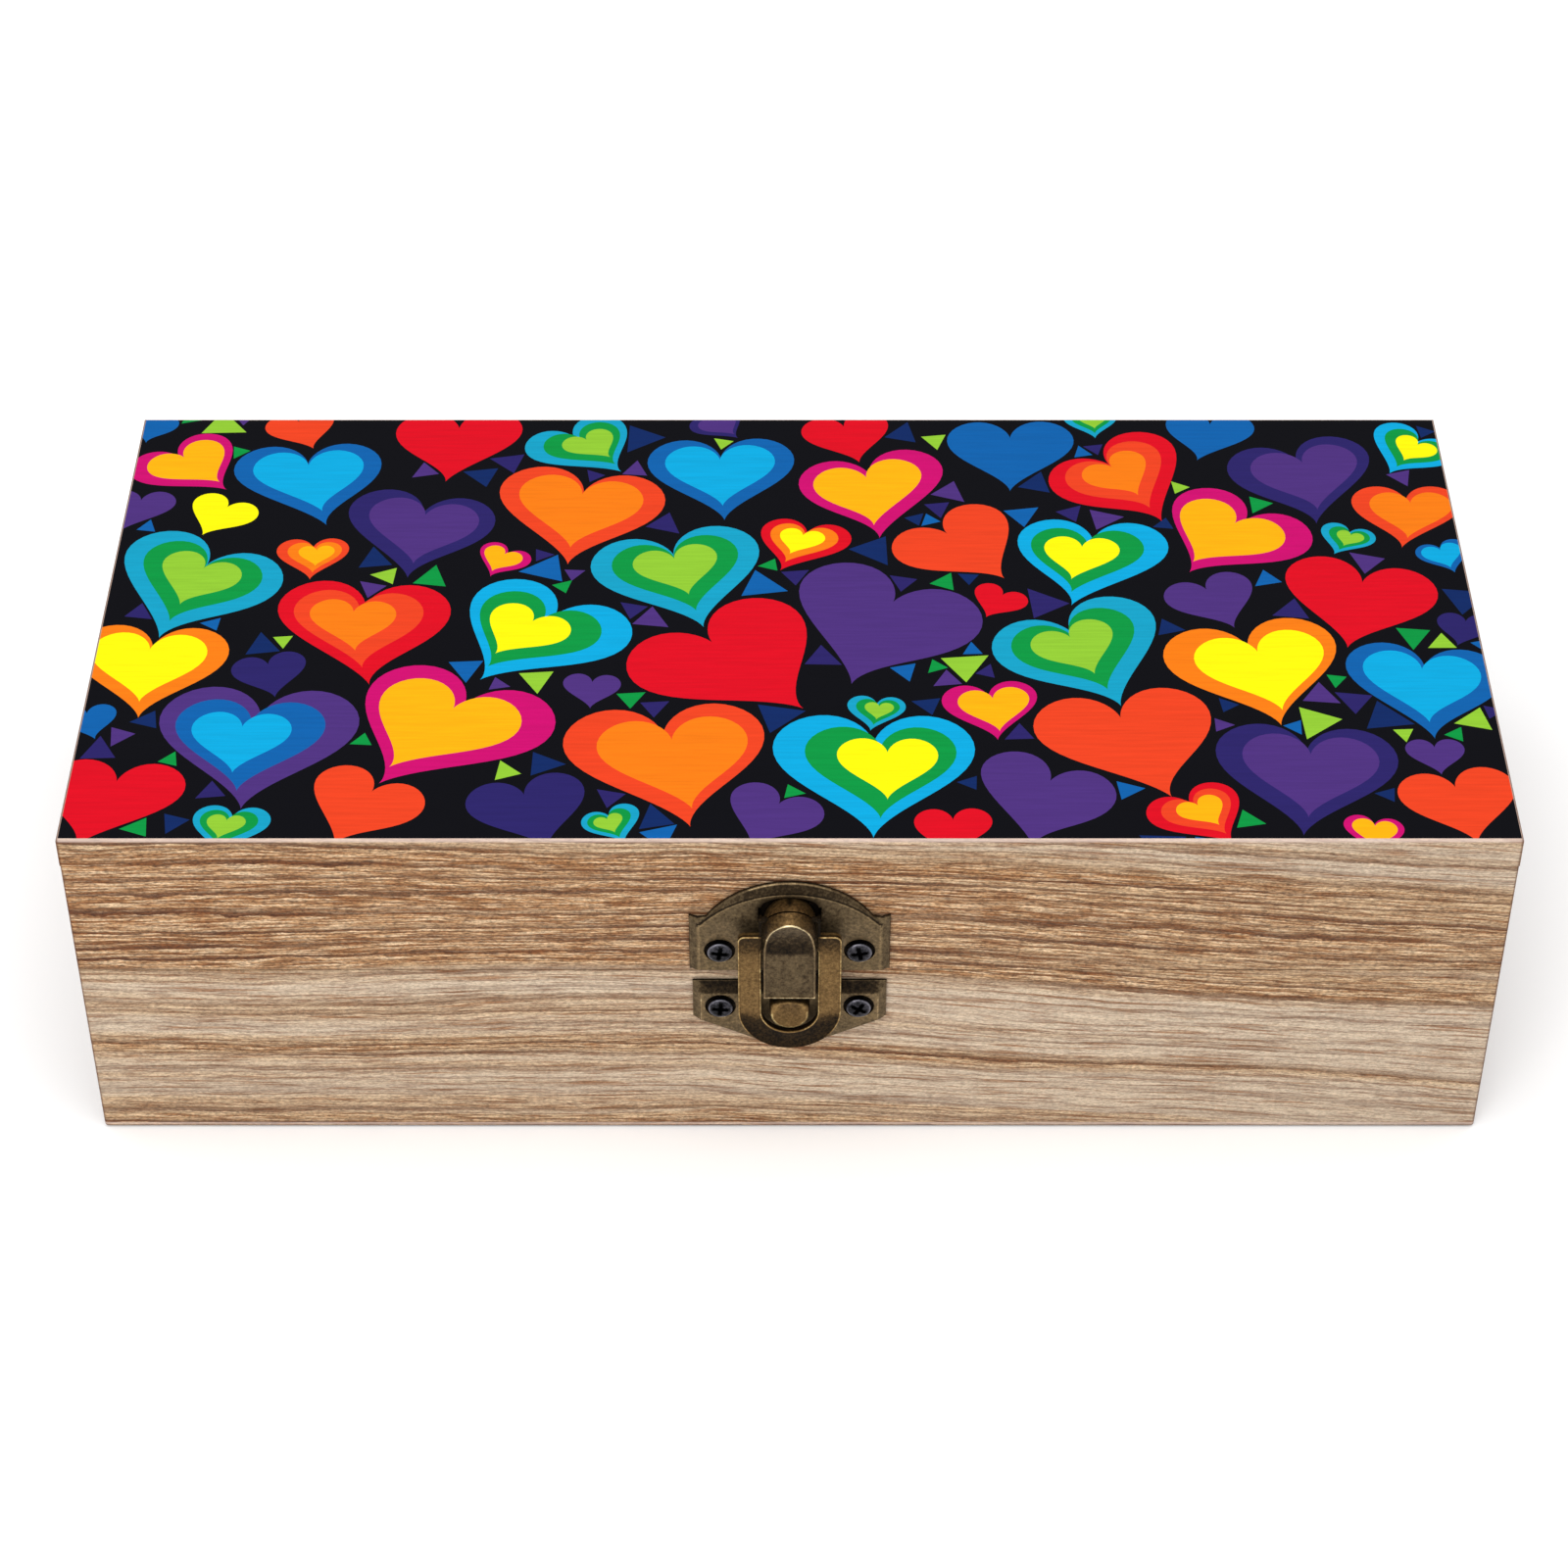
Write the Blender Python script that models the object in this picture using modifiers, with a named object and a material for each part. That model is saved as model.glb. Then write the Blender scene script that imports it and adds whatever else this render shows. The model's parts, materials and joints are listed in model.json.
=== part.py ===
"""A small wooden storage box with a hinged lid and a toggle latch on its front.

Metres, +Z up. The origin is the centre of the underside, X runs along the length
and +Y points to the back, so the front face looks towards -Y.
"""

import math

import bmesh
import bpy
from mathutils import Matrix, Vector

# The box
LENGTH = 0.205
DEPTH = 0.0988
HEIGHT = 0.0583
PARTING_HEIGHT = 0.0328
WALL = 0.007
TOP_BOARD = 0.005
BOTTOM_BOARD = 0.004
EDGE_ROUND = 0.0005
PARTING_ROUND = 0.00015
CONTACT_GAP = 0.0003
GLUE_GAP = 0.0001

# The latch, on the front face. Each drop is measured down from a level above the parting line,
# which lies at the top of the lid on a box of these sizes.
LATCH_LEVEL_RISE = 0.0255
PLATE_THICKNESS = 0.0009
PLATE_RIM = 0.0004
LID_PLATE_WIDTH = 0.0287
LID_PLATE_LEDGE = 0.00245
LID_PLATE_APEX_DROP = 0.0076
LID_PLATE_SHOULDER_DROP = 0.0139
LID_PLATE_FOOT_CLEARANCE = 0.0009
SLOT_TOP_DROP = 0.0101
SLOT_ARCH_RISE = 0.0024
SLOT_FOOT_DROP = 0.0147
CATCH_PLATE_INSET = 0.00035
CATCH_PLATE_TOP_CLEARANCE = 0.0013
CATCH_PLATE_STRAIGHT = 0.0072
CATCH_PLATE_TAPER = 0.0048
CATCH_PLATE_TOE_WIDTH = 0.0084
CATCH_PLATE_TOE = 0.0013
FULCRUM_DROP = 0.0146
FULCRUM_STAND = 0.0027
LUG_RADIUS = 0.001
LUG_THICKNESS = 0.001
LUG_ROOT = 0.002
LATCH_PIN_RADIUS = 0.00045
PIN_CLEARANCE = 0.00015
SIDE_CLEARANCE = 0.0003
LEVER_WIDTH = 0.0071
LEVER_THICKNESS = 0.001
LEVER_STAND = 0.004
LEVER_TOP_DROP = 0.0112
LEVER_HOLLOW_DROP = 0.0178
LEVER_TIP_DROP = 0.0264
LEVER_HUMP = 0.0007
LOOP_THICKNESS = 0.001
LOOP_WIDTH = 0.0148
LOOP_BAND = 0.0032
LOOP_SHOULDER_DROP = 0.0154
LOOP_LENGTH = 0.02235
LOOP_NECK_WIDTH = 0.0083
LOOP_NECK_BAND = 0.00095
LOOP_PIVOT_RISE = 0.0023
LOOP_BAR_RADIUS = 0.00045
LEVER_EYE_WALL = 0.00035
LOOP_CORNER = 0.001
LOOP_WINDOW_TOP_DROP = 0.0182
HOOK_WIDTH = 0.0062
HOOK_TOP_DROP = 0.0296
HOOK_FOOT_DROP = 0.0355

# The two hinges, on the back face
HINGE_SPACING = 0.12
LEAF_WIDTH = 0.018
LEAF_HEIGHT = 0.010
LEAF_THICKNESS = 0.0009
KNUCKLE_RADIUS = 0.0017
MIDDLE_KNUCKLE = 0.007
HINGE_PIN_RADIUS = 0.0007
HINGE_SCREW_SPACING = 0.011

# The screws
SCREW_HEAD_RADIUS = 0.00182
SCREW_SHANK_RADIUS = 0.0009
SCREW_LENGTH = 0.0058
SCREW_HOLE_CLEARANCE = 0.0002
LATCH_SCREW_INSET = 0.00435
LID_SCREW_DROP = 0.0205
CATCH_SCREW_DROP = 0.0317
RECESS_WIDTH = 0.0005
RECESS_LENGTH = 0.0021
RECESS_DEPTH = 0.0006

# How large an empty is drawn on a joint's axis
PIVOT_DISPLAY = 0.01

# Facets of the round shapes
ARC_STEPS = 20
HOLE_STEPS = 16

FRONT = -DEPTH / 2
BACK = DEPTH / 2
BASE_TOP = PARTING_HEIGHT - CONTACT_GAP / 2
LID_FOOT = PARTING_HEIGHT + CONTACT_GAP / 2
PLATE_FACE = CONTACT_GAP + PLATE_THICKNESS
LATCH_LEVEL = PARTING_HEIGHT + LATCH_LEVEL_RISE
FULCRUM = Vector((0.0, FRONT - FULCRUM_STAND, LATCH_LEVEL - FULCRUM_DROP))
LOOP_STAND = LEVER_STAND - CONTACT_GAP - LOOP_THICKNESS
LOOP_PIVOT = Vector((0.0, FRONT - LOOP_STAND - LOOP_THICKNESS / 2, FULCRUM.z + LOOP_PIVOT_RISE))
HINGE_AXIS = Vector((0.0, BACK + CONTACT_GAP + KNUCKLE_RADIUS, PARTING_HEIGHT))
HINGE_PIN_HOLE = HINGE_PIN_RADIUS + PIN_CLEARANCE
LATCH_PIN_HOLE = LATCH_PIN_RADIUS + PIN_CLEARANCE
LUG_OUTSIDE = LOOP_NECK_WIDTH / 2 - LOOP_NECK_BAND - SIDE_CLEARANCE
LUG_INSIDE = LUG_OUTSIDE - LUG_THICKNESS
LEVER_WEB = LUG_INSIDE - SIDE_CLEARANCE
HOOK_FACE = LOOP_STAND - CONTACT_GAP

# An outline drawn in (x, height) and pushed forwards, and one in (distance forwards, height)
# and pushed along X. Both start at the front face.
FROM_FRONT = Matrix.Translation((0.0, FRONT, 0.0)) @ Matrix.Rotation(math.pi / 2, 4, "X")
FROM_SIDE = Matrix(((0, 0, -1, 0), (-1, 0, 0, FRONT), (0, 1, 0, 0), (0, 0, 0, 1)))


def clear_scene():
    for old in list(bpy.data.objects):
        bpy.data.objects.remove(old, do_unlink=True)


def collection(name):
    made = bpy.data.collections.new(name)
    bpy.context.scene.collection.children.link(made)
    return made


def material(name, colour, roughness, metallic):
    made = bpy.data.materials.new(name)
    made.use_nodes = True
    shader = made.node_tree.nodes["Principled BSDF"]
    shader.inputs["Base Color"].default_value = (*colour, 1.0)
    shader.inputs["Roughness"].default_value = roughness
    shader.inputs["Metallic"].default_value = metallic
    made.diffuse_color = (*colour, 1.0)
    return made


def world_point(thing):
    """Where an object's origin is. No object here is turned under its parent."""
    point = Vector((0.0, 0.0, 0.0))
    while thing is not None:
        point += thing.location
        thing = thing.parent
    return point


def pivot(name, point, parent=None):
    """An empty on a joint's axis, which carries what turns about it."""
    made = bpy.data.objects.new(name, None)
    made.empty_display_size = PIVOT_DISPLAY
    made.parent = parent
    made.location = Vector(point) - world_point(parent)
    PARTS.objects.link(made)
    return made


def solid(name, mesh, surface, origin, parent=None, smooth=False):
    """A sub-part from a mesh whose points are measured from its origin."""
    made = bpy.data.objects.new(name, mesh)
    if not mesh.materials:
        mesh.materials.append(surface)
    if smooth:
        mesh.shade_smooth()
        mesh.set_sharp_from_angle(angle=math.radians(35))
    made.parent = parent
    made.location = Vector(origin) - world_point(parent)
    PARTS.objects.link(made)
    return made


def cutter(name, mesh, parent=None):
    made = bpy.data.objects.new(name, mesh)
    made.hide_render = True
    made.display_type = "WIRE"
    made.parent = parent
    made.location = -world_point(parent)
    CUTTERS.objects.link(made)
    return made


def boolean(target, other, operation):
    modifier = target.modifiers.new(operation.title() + " " + other.name, "BOOLEAN")
    modifier.operation = operation
    modifier.solver = "EXACT"
    modifier.object = other


def evaluated_mesh(made):
    """The mesh of an object with its modifiers or its curve worked out, in world space."""
    bpy.context.view_layer.update()
    graph = bpy.context.evaluated_depsgraph_get()
    mesh = bpy.data.meshes.new_from_object(made.evaluated_get(graph))
    mesh.transform(made.matrix_world)
    return mesh


def from_origin(mesh, origin):
    """Moves a mesh that was made in world space, so that its points start at its origin."""
    mesh.transform(Matrix.Translation(-Vector(origin)))
    return mesh


def arc(centre, radius, start, end, steps=ARC_STEPS):
    """Points along an arc, from one angle to another, in degrees."""
    points = []
    for step in range(steps + 1):
        angle = math.radians(start + (end - start) * step / steps)
        points.append((centre[0] + radius * math.cos(angle), centre[1] + radius * math.sin(angle)))
    return points


def extruded(outlines, low, high, turn):
    """A flat outline, with any holes after it, pushed from low to high and turned into place."""
    curve = bpy.data.curves.new("outline", "CURVE")
    curve.dimensions = "2D"
    curve.fill_mode = "BOTH"
    curve.extrude = (high - low) / 2
    for outline in outlines:
        spline = curve.splines.new("POLY")
        spline.points.add(len(outline) - 1)
        for point, (across, up) in zip(spline.points, outline):
            point.co = (across, up, 0.0, 1.0)
        spline.use_cyclic_u = True
    holder = bpy.data.objects.new("outline", curve)
    bpy.context.scene.collection.objects.link(holder)
    mesh = evaluated_mesh(holder)
    bpy.data.objects.remove(holder)
    bpy.data.curves.remove(curve)
    bm = bmesh.new()
    bm.from_mesh(mesh)
    bmesh.ops.remove_doubles(bm, verts=bm.verts, dist=0.000001)
    bmesh.ops.recalc_face_normals(bm, faces=bm.faces)
    bm.to_mesh(mesh)
    bm.free()
    mesh.transform(turn @ Matrix.Translation((0.0, 0.0, (low + high) / 2)))
    return mesh


def cylinder(radius, start, end, steps=HOLE_STEPS):
    """A closed cylinder from one point to another, in world space."""
    start = Vector(start)
    end = Vector(end)
    along = end - start
    bm = bmesh.new()
    place = Matrix.Translation((start + end) / 2) @ along.to_track_quat("Z", "Y").to_matrix().to_4x4()
    bmesh.ops.create_cone(
        bm, cap_ends=True, segments=steps, radius1=radius, radius2=radius, depth=along.length, matrix=place
    )
    mesh = bpy.data.meshes.new("cylinder")
    bm.to_mesh(mesh)
    bm.free()
    return mesh


def block(low, high):
    """A closed box between two corners, in world space."""
    low = Vector(low)
    high = Vector(high)
    bm = bmesh.new()
    bmesh.ops.create_cube(bm, size=1.0)
    bmesh.ops.scale(bm, vec=high - low, verts=bm.verts)
    bmesh.ops.translate(bm, vec=(low + high) / 2, verts=bm.verts)
    mesh = bpy.data.meshes.new("block")
    bm.to_mesh(mesh)
    bm.free()
    return mesh


def merged(pieces):
    """Overlapping world-space meshes, joined into one body."""
    first = bpy.data.objects.new("merging", pieces[0])
    bpy.context.scene.collection.objects.link(first)
    others = []
    for piece in pieces[1:]:
        other = bpy.data.objects.new("merging", piece)
        bpy.context.scene.collection.objects.link(other)
        modifier = first.modifiers.new("Union", "BOOLEAN")
        modifier.operation = "UNION"
        modifier.solver = "EXACT"
        modifier.object = other
        others.append(other)
    mesh = evaluated_mesh(first)
    for used in [first, *others]:
        bpy.data.objects.remove(used)
    return mesh


def turned(profile, steps=HOLE_STEPS):
    """A turned solid about Z. The profile is (radius, height) down its outer side."""
    mesh = bpy.data.meshes.new("profile")
    points = [(radius, 0.0, height) for radius, height in profile]
    mesh.from_pydata(points, [(i, i + 1) for i in range(len(points) - 1)], [])
    holder = bpy.data.objects.new("profile", mesh)
    bpy.context.scene.collection.objects.link(holder)
    modifier = holder.modifiers.new("Screw", "SCREW")
    modifier.steps = steps
    modifier.render_steps = steps
    modifier.use_merge_vertices = True
    modifier.merge_threshold = 0.00001
    made = evaluated_mesh(holder)
    bpy.data.objects.remove(holder)
    return made


def edge_round(point):
    """How far a board's edge is rounded there, as a share of the box's outer edges."""
    near = 0.000001
    sides = abs(abs(point.x) - LENGTH / 2) < near, abs(abs(point.y) - DEPTH / 2) < near
    ends = min(abs(point.z), abs(point.z - HEIGHT)) < near
    parting = min(abs(point.z - BASE_TOP), abs(point.z - LID_FOOT)) < near
    if sum(sides) + ends >= 2:
        return 1.0
    return PARTING_ROUND / EDGE_ROUND if parting and any(sides) else 0.0


def board(name, low, high, wood, parent=None):
    """A board between two corners, rounded along the edges that show on the closed box."""
    mesh = block(low, high)
    bm = bmesh.new()
    bm.from_mesh(mesh)
    weight = bm.edges.layers.float.new("bevel_weight_edge")
    for edge in bm.edges:
        middle = (edge.verts[0].co + edge.verts[1].co) / 2
        edge[weight] = edge_round(middle)
    bm.to_mesh(mesh)
    bm.free()
    centre = (Vector(low) + Vector(high)) / 2
    made = solid(name, from_origin(mesh, centre), wood, centre, parent)
    modifier = made.modifiers.new("Rounded edges", "BEVEL")
    modifier.width = EDGE_ROUND
    modifier.segments = 2
    modifier.limit_method = "WEIGHT"
    return made


def frame_of_boards(prefix, names, foot, top, wood, parent=None):
    """Four boards on edge. The front and back ones run the full length, the sides fit between."""
    inner = DEPTH / 2 - WALL
    side_end = inner - GLUE_GAP
    half = LENGTH / 2
    places = {
        "front": ((-half, FRONT, foot), (half, -inner, top)),
        "back": ((-half, inner, foot), (half, BACK, top)),
        "left": ((-half, -side_end, foot), (WALL - half, side_end, top)),
        "right": ((half - WALL, -side_end, foot), (half, side_end, top)),
    }
    return {
        side: board(f"{prefix}_{side}_{names}", low, high, wood, parent)
        for side, (low, high) in places.items()
    }


def base(wood):
    boards = frame_of_boards("base", "board", 0.0, BASE_TOP, wood)
    half_length = LENGTH / 2 - WALL - GLUE_GAP
    half_depth = DEPTH / 2 - WALL - GLUE_GAP
    low = (-half_length, -half_depth, 0.0)
    board("base_bottom_board", low, (half_length, half_depth, BOTTOM_BOARD), wood)
    return boards


def lid(wood, printed, hinge):
    rail_top = HEIGHT - TOP_BOARD - GLUE_GAP
    rails = frame_of_boards("lid", "rail", LID_FOOT, rail_top, wood, hinge)
    low = (-LENGTH / 2, FRONT, HEIGHT - TOP_BOARD)
    board("lid_top_board", low, (LENGTH / 2, BACK, HEIGHT), printed, hinge)
    return rails


def screw_mesh():
    """A countersunk screw along Z with its head uppermost, and a cross cut in the head."""
    head = PLATE_THICKNESS - PLATE_RIM / 2
    edge = head / 6
    profile = [
        (0.0, 0.0),
        (SCREW_HEAD_RADIUS, 0.0),
        (SCREW_HEAD_RADIUS, -edge),
        (SCREW_SHANK_RADIUS, -head),
        (SCREW_SHANK_RADIUS, SCREW_SHANK_RADIUS - SCREW_LENGTH),
        (0.0, -SCREW_LENGTH),
    ]
    body = bpy.data.objects.new("screw", turned(profile))
    bpy.context.scene.collection.objects.link(body)
    long = RECESS_LENGTH / 2
    short = RECESS_WIDTH / 2
    bars = [
        block((-long, -short, -RECESS_DEPTH), (long, short, RECESS_DEPTH)),
        block((-short, -long, -RECESS_DEPTH), (short, long, RECESS_DEPTH)),
    ]
    cross = bpy.data.objects.new("cross", merged(bars))
    bpy.context.scene.collection.objects.link(cross)
    boolean(body, cross, "DIFFERENCE")
    mesh = evaluated_mesh(body)
    bpy.data.objects.remove(body)
    bpy.data.objects.remove(cross)
    return mesh


def countersink(steps=HOLE_STEPS):
    """What a countersunk hole takes out of a plate whose outer face is at height 0."""
    hole = SCREW_SHANK_RADIUS + SCREW_HOLE_CLEARANCE
    mouth = SCREW_HEAD_RADIUS + SCREW_HOLE_CLEARANCE
    through = PLATE_THICKNESS + CONTACT_GAP
    profile = [
        (0.0, CONTACT_GAP),
        (mouth, CONTACT_GAP),
        (mouth, -PLATE_THICKNESS / 4),
        (hole, -PLATE_THICKNESS),
        (hole, -through),
        (0.0, -through),
    ]
    return turned(profile, steps)


def fasten(name, point, outwards, mesh, plate, wall, metal, parent):
    """One screw through a plate into a wall, with its countersink and its pilot hole."""
    turn = Vector((0.0, outwards, 0.0)).to_track_quat("Z", "X")
    place = Matrix.Translation(point) @ turn.to_matrix().to_4x4()
    sink = countersink()
    sink.transform(place)
    boolean(plate, cutter(name + "_countersink", sink, parent), "DIFFERENCE")
    pilot_radius = SCREW_SHANK_RADIUS + SCREW_HOLE_CLEARANCE
    start = Vector(point)
    end = start - Vector((0.0, outwards * (SCREW_LENGTH + SCREW_HOLE_CLEARANCE), 0.0))
    hole = cutter(name + "_pilot_hole", cylinder(pilot_radius, start, end), parent)
    boolean(wall, hole, "DIFFERENCE")
    screw = solid(name, mesh, metal, point, parent)
    screw.rotation_euler = turn.to_euler()
    return screw


def drop(distance):
    """A height, from how far it is below the latch's level."""
    return LATCH_LEVEL - distance


def tab(centre, radius, root, low, high):
    """A side outline with a round head about a centre and a straight root at another distance."""
    if centre[0] > root:
        head = arc(centre, radius, -90, 90, HOLE_STEPS // 2)
        return [(root, low), *head, (root, high)]
    head = arc(centre, radius, 90, 270, HOLE_STEPS // 2)
    return [(root, high), *head, (root, low)]


def rim_weights(mesh, face_distance):
    """Marks the edges of a plate's outer face, which a Bevel then chamfers."""
    bm = bmesh.new()
    bm.from_mesh(mesh)
    weight = bm.edges.layers.float.new("bevel_weight_edge")
    for edge in bm.edges:
        on_face = all(abs(FRONT - vert.co.y - face_distance) < 0.000001 for vert in edge.verts)
        if on_face and edge.calc_face_angle(0.0) > math.radians(45):
            edge[weight] = 1.0
    bm.to_mesh(mesh)
    bm.free()


def plate(name, outline, metal, origin, parent=None):
    """A flat stamped plate on the front face, with a chamfer round its outer face."""
    mesh = extruded([outline], CONTACT_GAP, PLATE_FACE, FROM_FRONT)
    rim_weights(mesh, PLATE_FACE)
    made = solid(name, from_origin(mesh, origin), metal, origin, parent, smooth=True)
    modifier = made.modifiers.new("Rim", "BEVEL")
    modifier.width = PLATE_RIM
    modifier.segments = 1
    modifier.limit_method = "WEIGHT"
    return made


def lid_plate(metal, hinge):
    """The upper latch plate: an arched top, a slot for the lever's short arm, and two lugs."""
    half = LID_PLATE_WIDTH / 2
    arch_half = half - LID_PLATE_LEDGE
    foot = LID_FOOT + LID_PLATE_FOOT_CLEARANCE
    shoulder = drop(LID_PLATE_SHOULDER_DROP)
    rise = LID_PLATE_SHOULDER_DROP - LID_PLATE_APEX_DROP
    radius = (arch_half**2 + rise**2) / (2 * rise)
    centre = (0.0, shoulder + rise - radius)
    sweep = math.degrees(math.asin(arch_half / radius))
    top = arc(centre, radius, 90 - sweep, 90 + sweep)
    outline = [(-half, foot), (half, foot), (half, shoulder), *top, (-half, shoulder)]
    made = plate("latch_lid_plate", outline, metal, (0.0, FRONT, shoulder), hinge)

    slot_half = LOOP_NECK_WIDTH / 2 + SIDE_CLEARANCE
    slot_foot = drop(SLOT_FOOT_DROP)
    spring = drop(SLOT_TOP_DROP) - SLOT_ARCH_RISE
    crown = [(across * slot_half, spring + up * SLOT_ARCH_RISE) for across, up in arc((0, 0), 1, 0, 180)]
    opening = [(-slot_half, slot_foot), (slot_half, slot_foot), *crown]
    slot = extruded([opening], 0.0, LEVER_STAND, FROM_FRONT)
    boolean(made, cutter("latch_plate_slot", slot, hinge), "DIFFERENCE")

    centre = (FULCRUM_STAND, FULCRUM.z)
    root = CONTACT_GAP + PLATE_THICKNESS / 2
    side = tab(centre, LUG_RADIUS, root, slot_foot - LUG_ROOT, slot_foot)
    hole = arc(centre, LATCH_PIN_HOLE, 0, 360 - 360 / HOLE_STEPS, HOLE_STEPS - 1)
    for sign, word in ((-1, "left"), (1, "right")):
        ends = sorted((sign * LUG_INSIDE, sign * LUG_OUTSIDE))
        lug = extruded([side, hole], -ends[1], -ends[0], FROM_SIDE)
        other = cutter(f"latch_lug_{word}", lug, hinge)
        boolean(made, other, "UNION")
    return made


def latch_pin(metal, hinge):
    ends = (Vector((-LUG_OUTSIDE, FULCRUM.y, FULCRUM.z)), Vector((LUG_OUTSIDE, FULCRUM.y, FULCRUM.z)))
    mesh = cylinder(LATCH_PIN_RADIUS, *ends)
    return solid("latch_pin", from_origin(mesh, FULCRUM), metal, FULCRUM, hinge, smooth=True)


def lever_side():
    """The lever's side outline: a flat tip, then a hollow that rises to a thumb hump."""
    face = LEVER_STAND + LEVER_THICKNESS
    top = drop(LEVER_TOP_DROP)
    tip = drop(LEVER_TIP_DROP)
    hollow = drop(LEVER_HOLLOW_DROP)
    steps = ARC_STEPS // 2
    rise = [
        (face + LEVER_HUMP * (step / steps) ** 2, hollow + (top - hollow) * step / steps)
        for step in range(steps)
    ]
    crest = face + LEVER_HUMP
    round_end = LEVER_THICKNESS / 2
    crown = arc((crest - round_end, top - round_end), round_end, 0, 90, steps // 2)
    return [(LEVER_STAND, top), (LEVER_STAND, tip), (face, tip), *rise[:-1], *crown]


def lever(metal, turning):
    """A tongue with a round top, which turns on the latch pin and carries the loop's bar."""
    half = LEVER_WIDTH / 2
    top = drop(LEVER_TOP_DROP)
    tip = drop(LEVER_TIP_DROP)
    profile = extruded([lever_side()], -half, half, FROM_SIDE)
    front = [(-half, tip), (half, tip), *arc((0.0, top - half), half, 0, 180)]
    depth = LEVER_STAND + LEVER_THICKNESS + 2 * LEVER_HUMP
    shape = extruded([front], LEVER_STAND - LEVER_THICKNESS, depth, FROM_FRONT)
    tongue = bpy.data.objects.new("tongue", profile)
    arched = bpy.data.objects.new("arched", shape)
    for used in (tongue, arched):
        bpy.context.scene.collection.objects.link(used)
    boolean(tongue, arched, "INTERSECT")
    tongue_mesh = evaluated_mesh(tongue)
    for used in (tongue, arched):
        bpy.data.objects.remove(used)

    root = LEVER_STAND + LEVER_THICKNESS / 2
    head = LUG_RADIUS
    centre = (FULCRUM_STAND, FULCRUM.z)
    web = tab(centre, head, root, FULCRUM.z - head, FULCRUM.z + head)
    eye_head = LOOP_BAR_RADIUS + PIN_CLEARANCE + LEVER_EYE_WALL
    eye_centre = (FRONT - LOOP_PIVOT.y, LOOP_PIVOT.z)
    eye = tab(eye_centre, eye_head, root, LOOP_PIVOT.z - eye_head, LOOP_PIVOT.z + eye_head)
    arms = [extruded([outline], -LEVER_WEB, LEVER_WEB, FROM_SIDE) for outline in (web, eye)]
    mesh = from_origin(merged([tongue_mesh, *arms]), FULCRUM)
    made = solid("latch_lever", mesh, metal, FULCRUM, turning, smooth=True)
    reach = Vector((LEVER_WIDTH, 0.0, 0.0))
    bores = {"latch_pin_bore": (LATCH_PIN_HOLE, FULCRUM)}
    bores["loop_bar_bore"] = (LOOP_BAR_RADIUS + PIN_CLEARANCE, LOOP_PIVOT)
    for name, (radius, point) in bores.items():
        bore = cylinder(radius, point - reach, point + reach)
        boolean(made, cutter(name, bore, turning), "DIFFERENCE")
    return made


def loop(metal, turning):
    """A flat ring with shoulders and a neck, closed at its top by the round bar it hangs on."""
    half = LOOP_WIDTH / 2
    window = half - LOOP_BAND
    neck = LOOP_NECK_WIDTH / 2
    neck_inside = neck - LOOP_NECK_BAND
    neck_top = LOOP_PIVOT.z + LOOP_BAR_RADIUS
    shoulder = drop(LOOP_SHOULDER_DROP)
    window_top = drop(LOOP_WINDOW_TOP_DROP)
    round_centre = (0.0, shoulder - LOOP_LENGTH + half)
    corner = LOOP_CORNER
    right = arc((half - corner, shoulder - corner), corner, 90, 0, 5)
    left = arc((corner - half, shoulder - corner), corner, 180, 90, 5)
    outline = [
        (neck_inside, neck_top),
        (neck, neck_top),
        (neck, shoulder),
        *right,
        *arc(round_centre, half, 0, -180),
        *left,
        (-neck, shoulder),
        (-neck, neck_top),
        (-neck_inside, neck_top),
        (-neck_inside, window_top),
        (-window, window_top),
        *arc(round_centre, window, -180, 0),
        (window, window_top),
        (neck_inside, window_top),
    ]
    ring = extruded([outline], LOOP_STAND, LOOP_STAND + LOOP_THICKNESS, FROM_FRONT)
    reach = Vector(((neck + neck_inside) / 2, 0.0, 0.0))
    bar = cylinder(LOOP_BAR_RADIUS, LOOP_PIVOT - reach, LOOP_PIVOT + reach)
    mesh = from_origin(merged([ring, bar]), LOOP_PIVOT)
    return solid("latch_loop", mesh, metal, LOOP_PIVOT, turning, smooth=True)


def catch_plate(metal):
    """The lower latch plate, with the raised hook that stands in the loop's window."""
    half = LID_PLATE_WIDTH / 2 - CATCH_PLATE_INSET
    top = BASE_TOP - CATCH_PLATE_TOP_CLEARANCE
    kink = top - CATCH_PLATE_STRAIGHT
    toe_half = CATCH_PLATE_TOE_WIDTH / 2
    taper_foot = kink - CATCH_PLATE_TAPER
    radius = (toe_half**2 + CATCH_PLATE_TOE**2) / (2 * CATCH_PLATE_TOE)
    sweep = math.degrees(math.asin(toe_half / radius))
    toe = arc((0.0, taper_foot - CATCH_PLATE_TOE + radius), radius, -90 + sweep, -90 - sweep, 8)
    outline = [(-half, top), (half, top), (half, kink), *toe, (-half, kink)]
    made = plate("latch_catch_plate", outline, metal, (0.0, FRONT, top))
    hook_half = HOOK_WIDTH / 2
    hook_top = drop(HOOK_TOP_DROP)
    bottom = arc((0.0, drop(HOOK_FOOT_DROP) + hook_half), hook_half, 0, -180)
    shape = [(-hook_half, hook_top), (hook_half, hook_top), *bottom]
    hook = extruded([shape], PLATE_FACE - PLATE_THICKNESS / 2, HOOK_FACE, FROM_FRONT)
    boolean(made, cutter("latch_hook", hook), "UNION")
    return made


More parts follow.
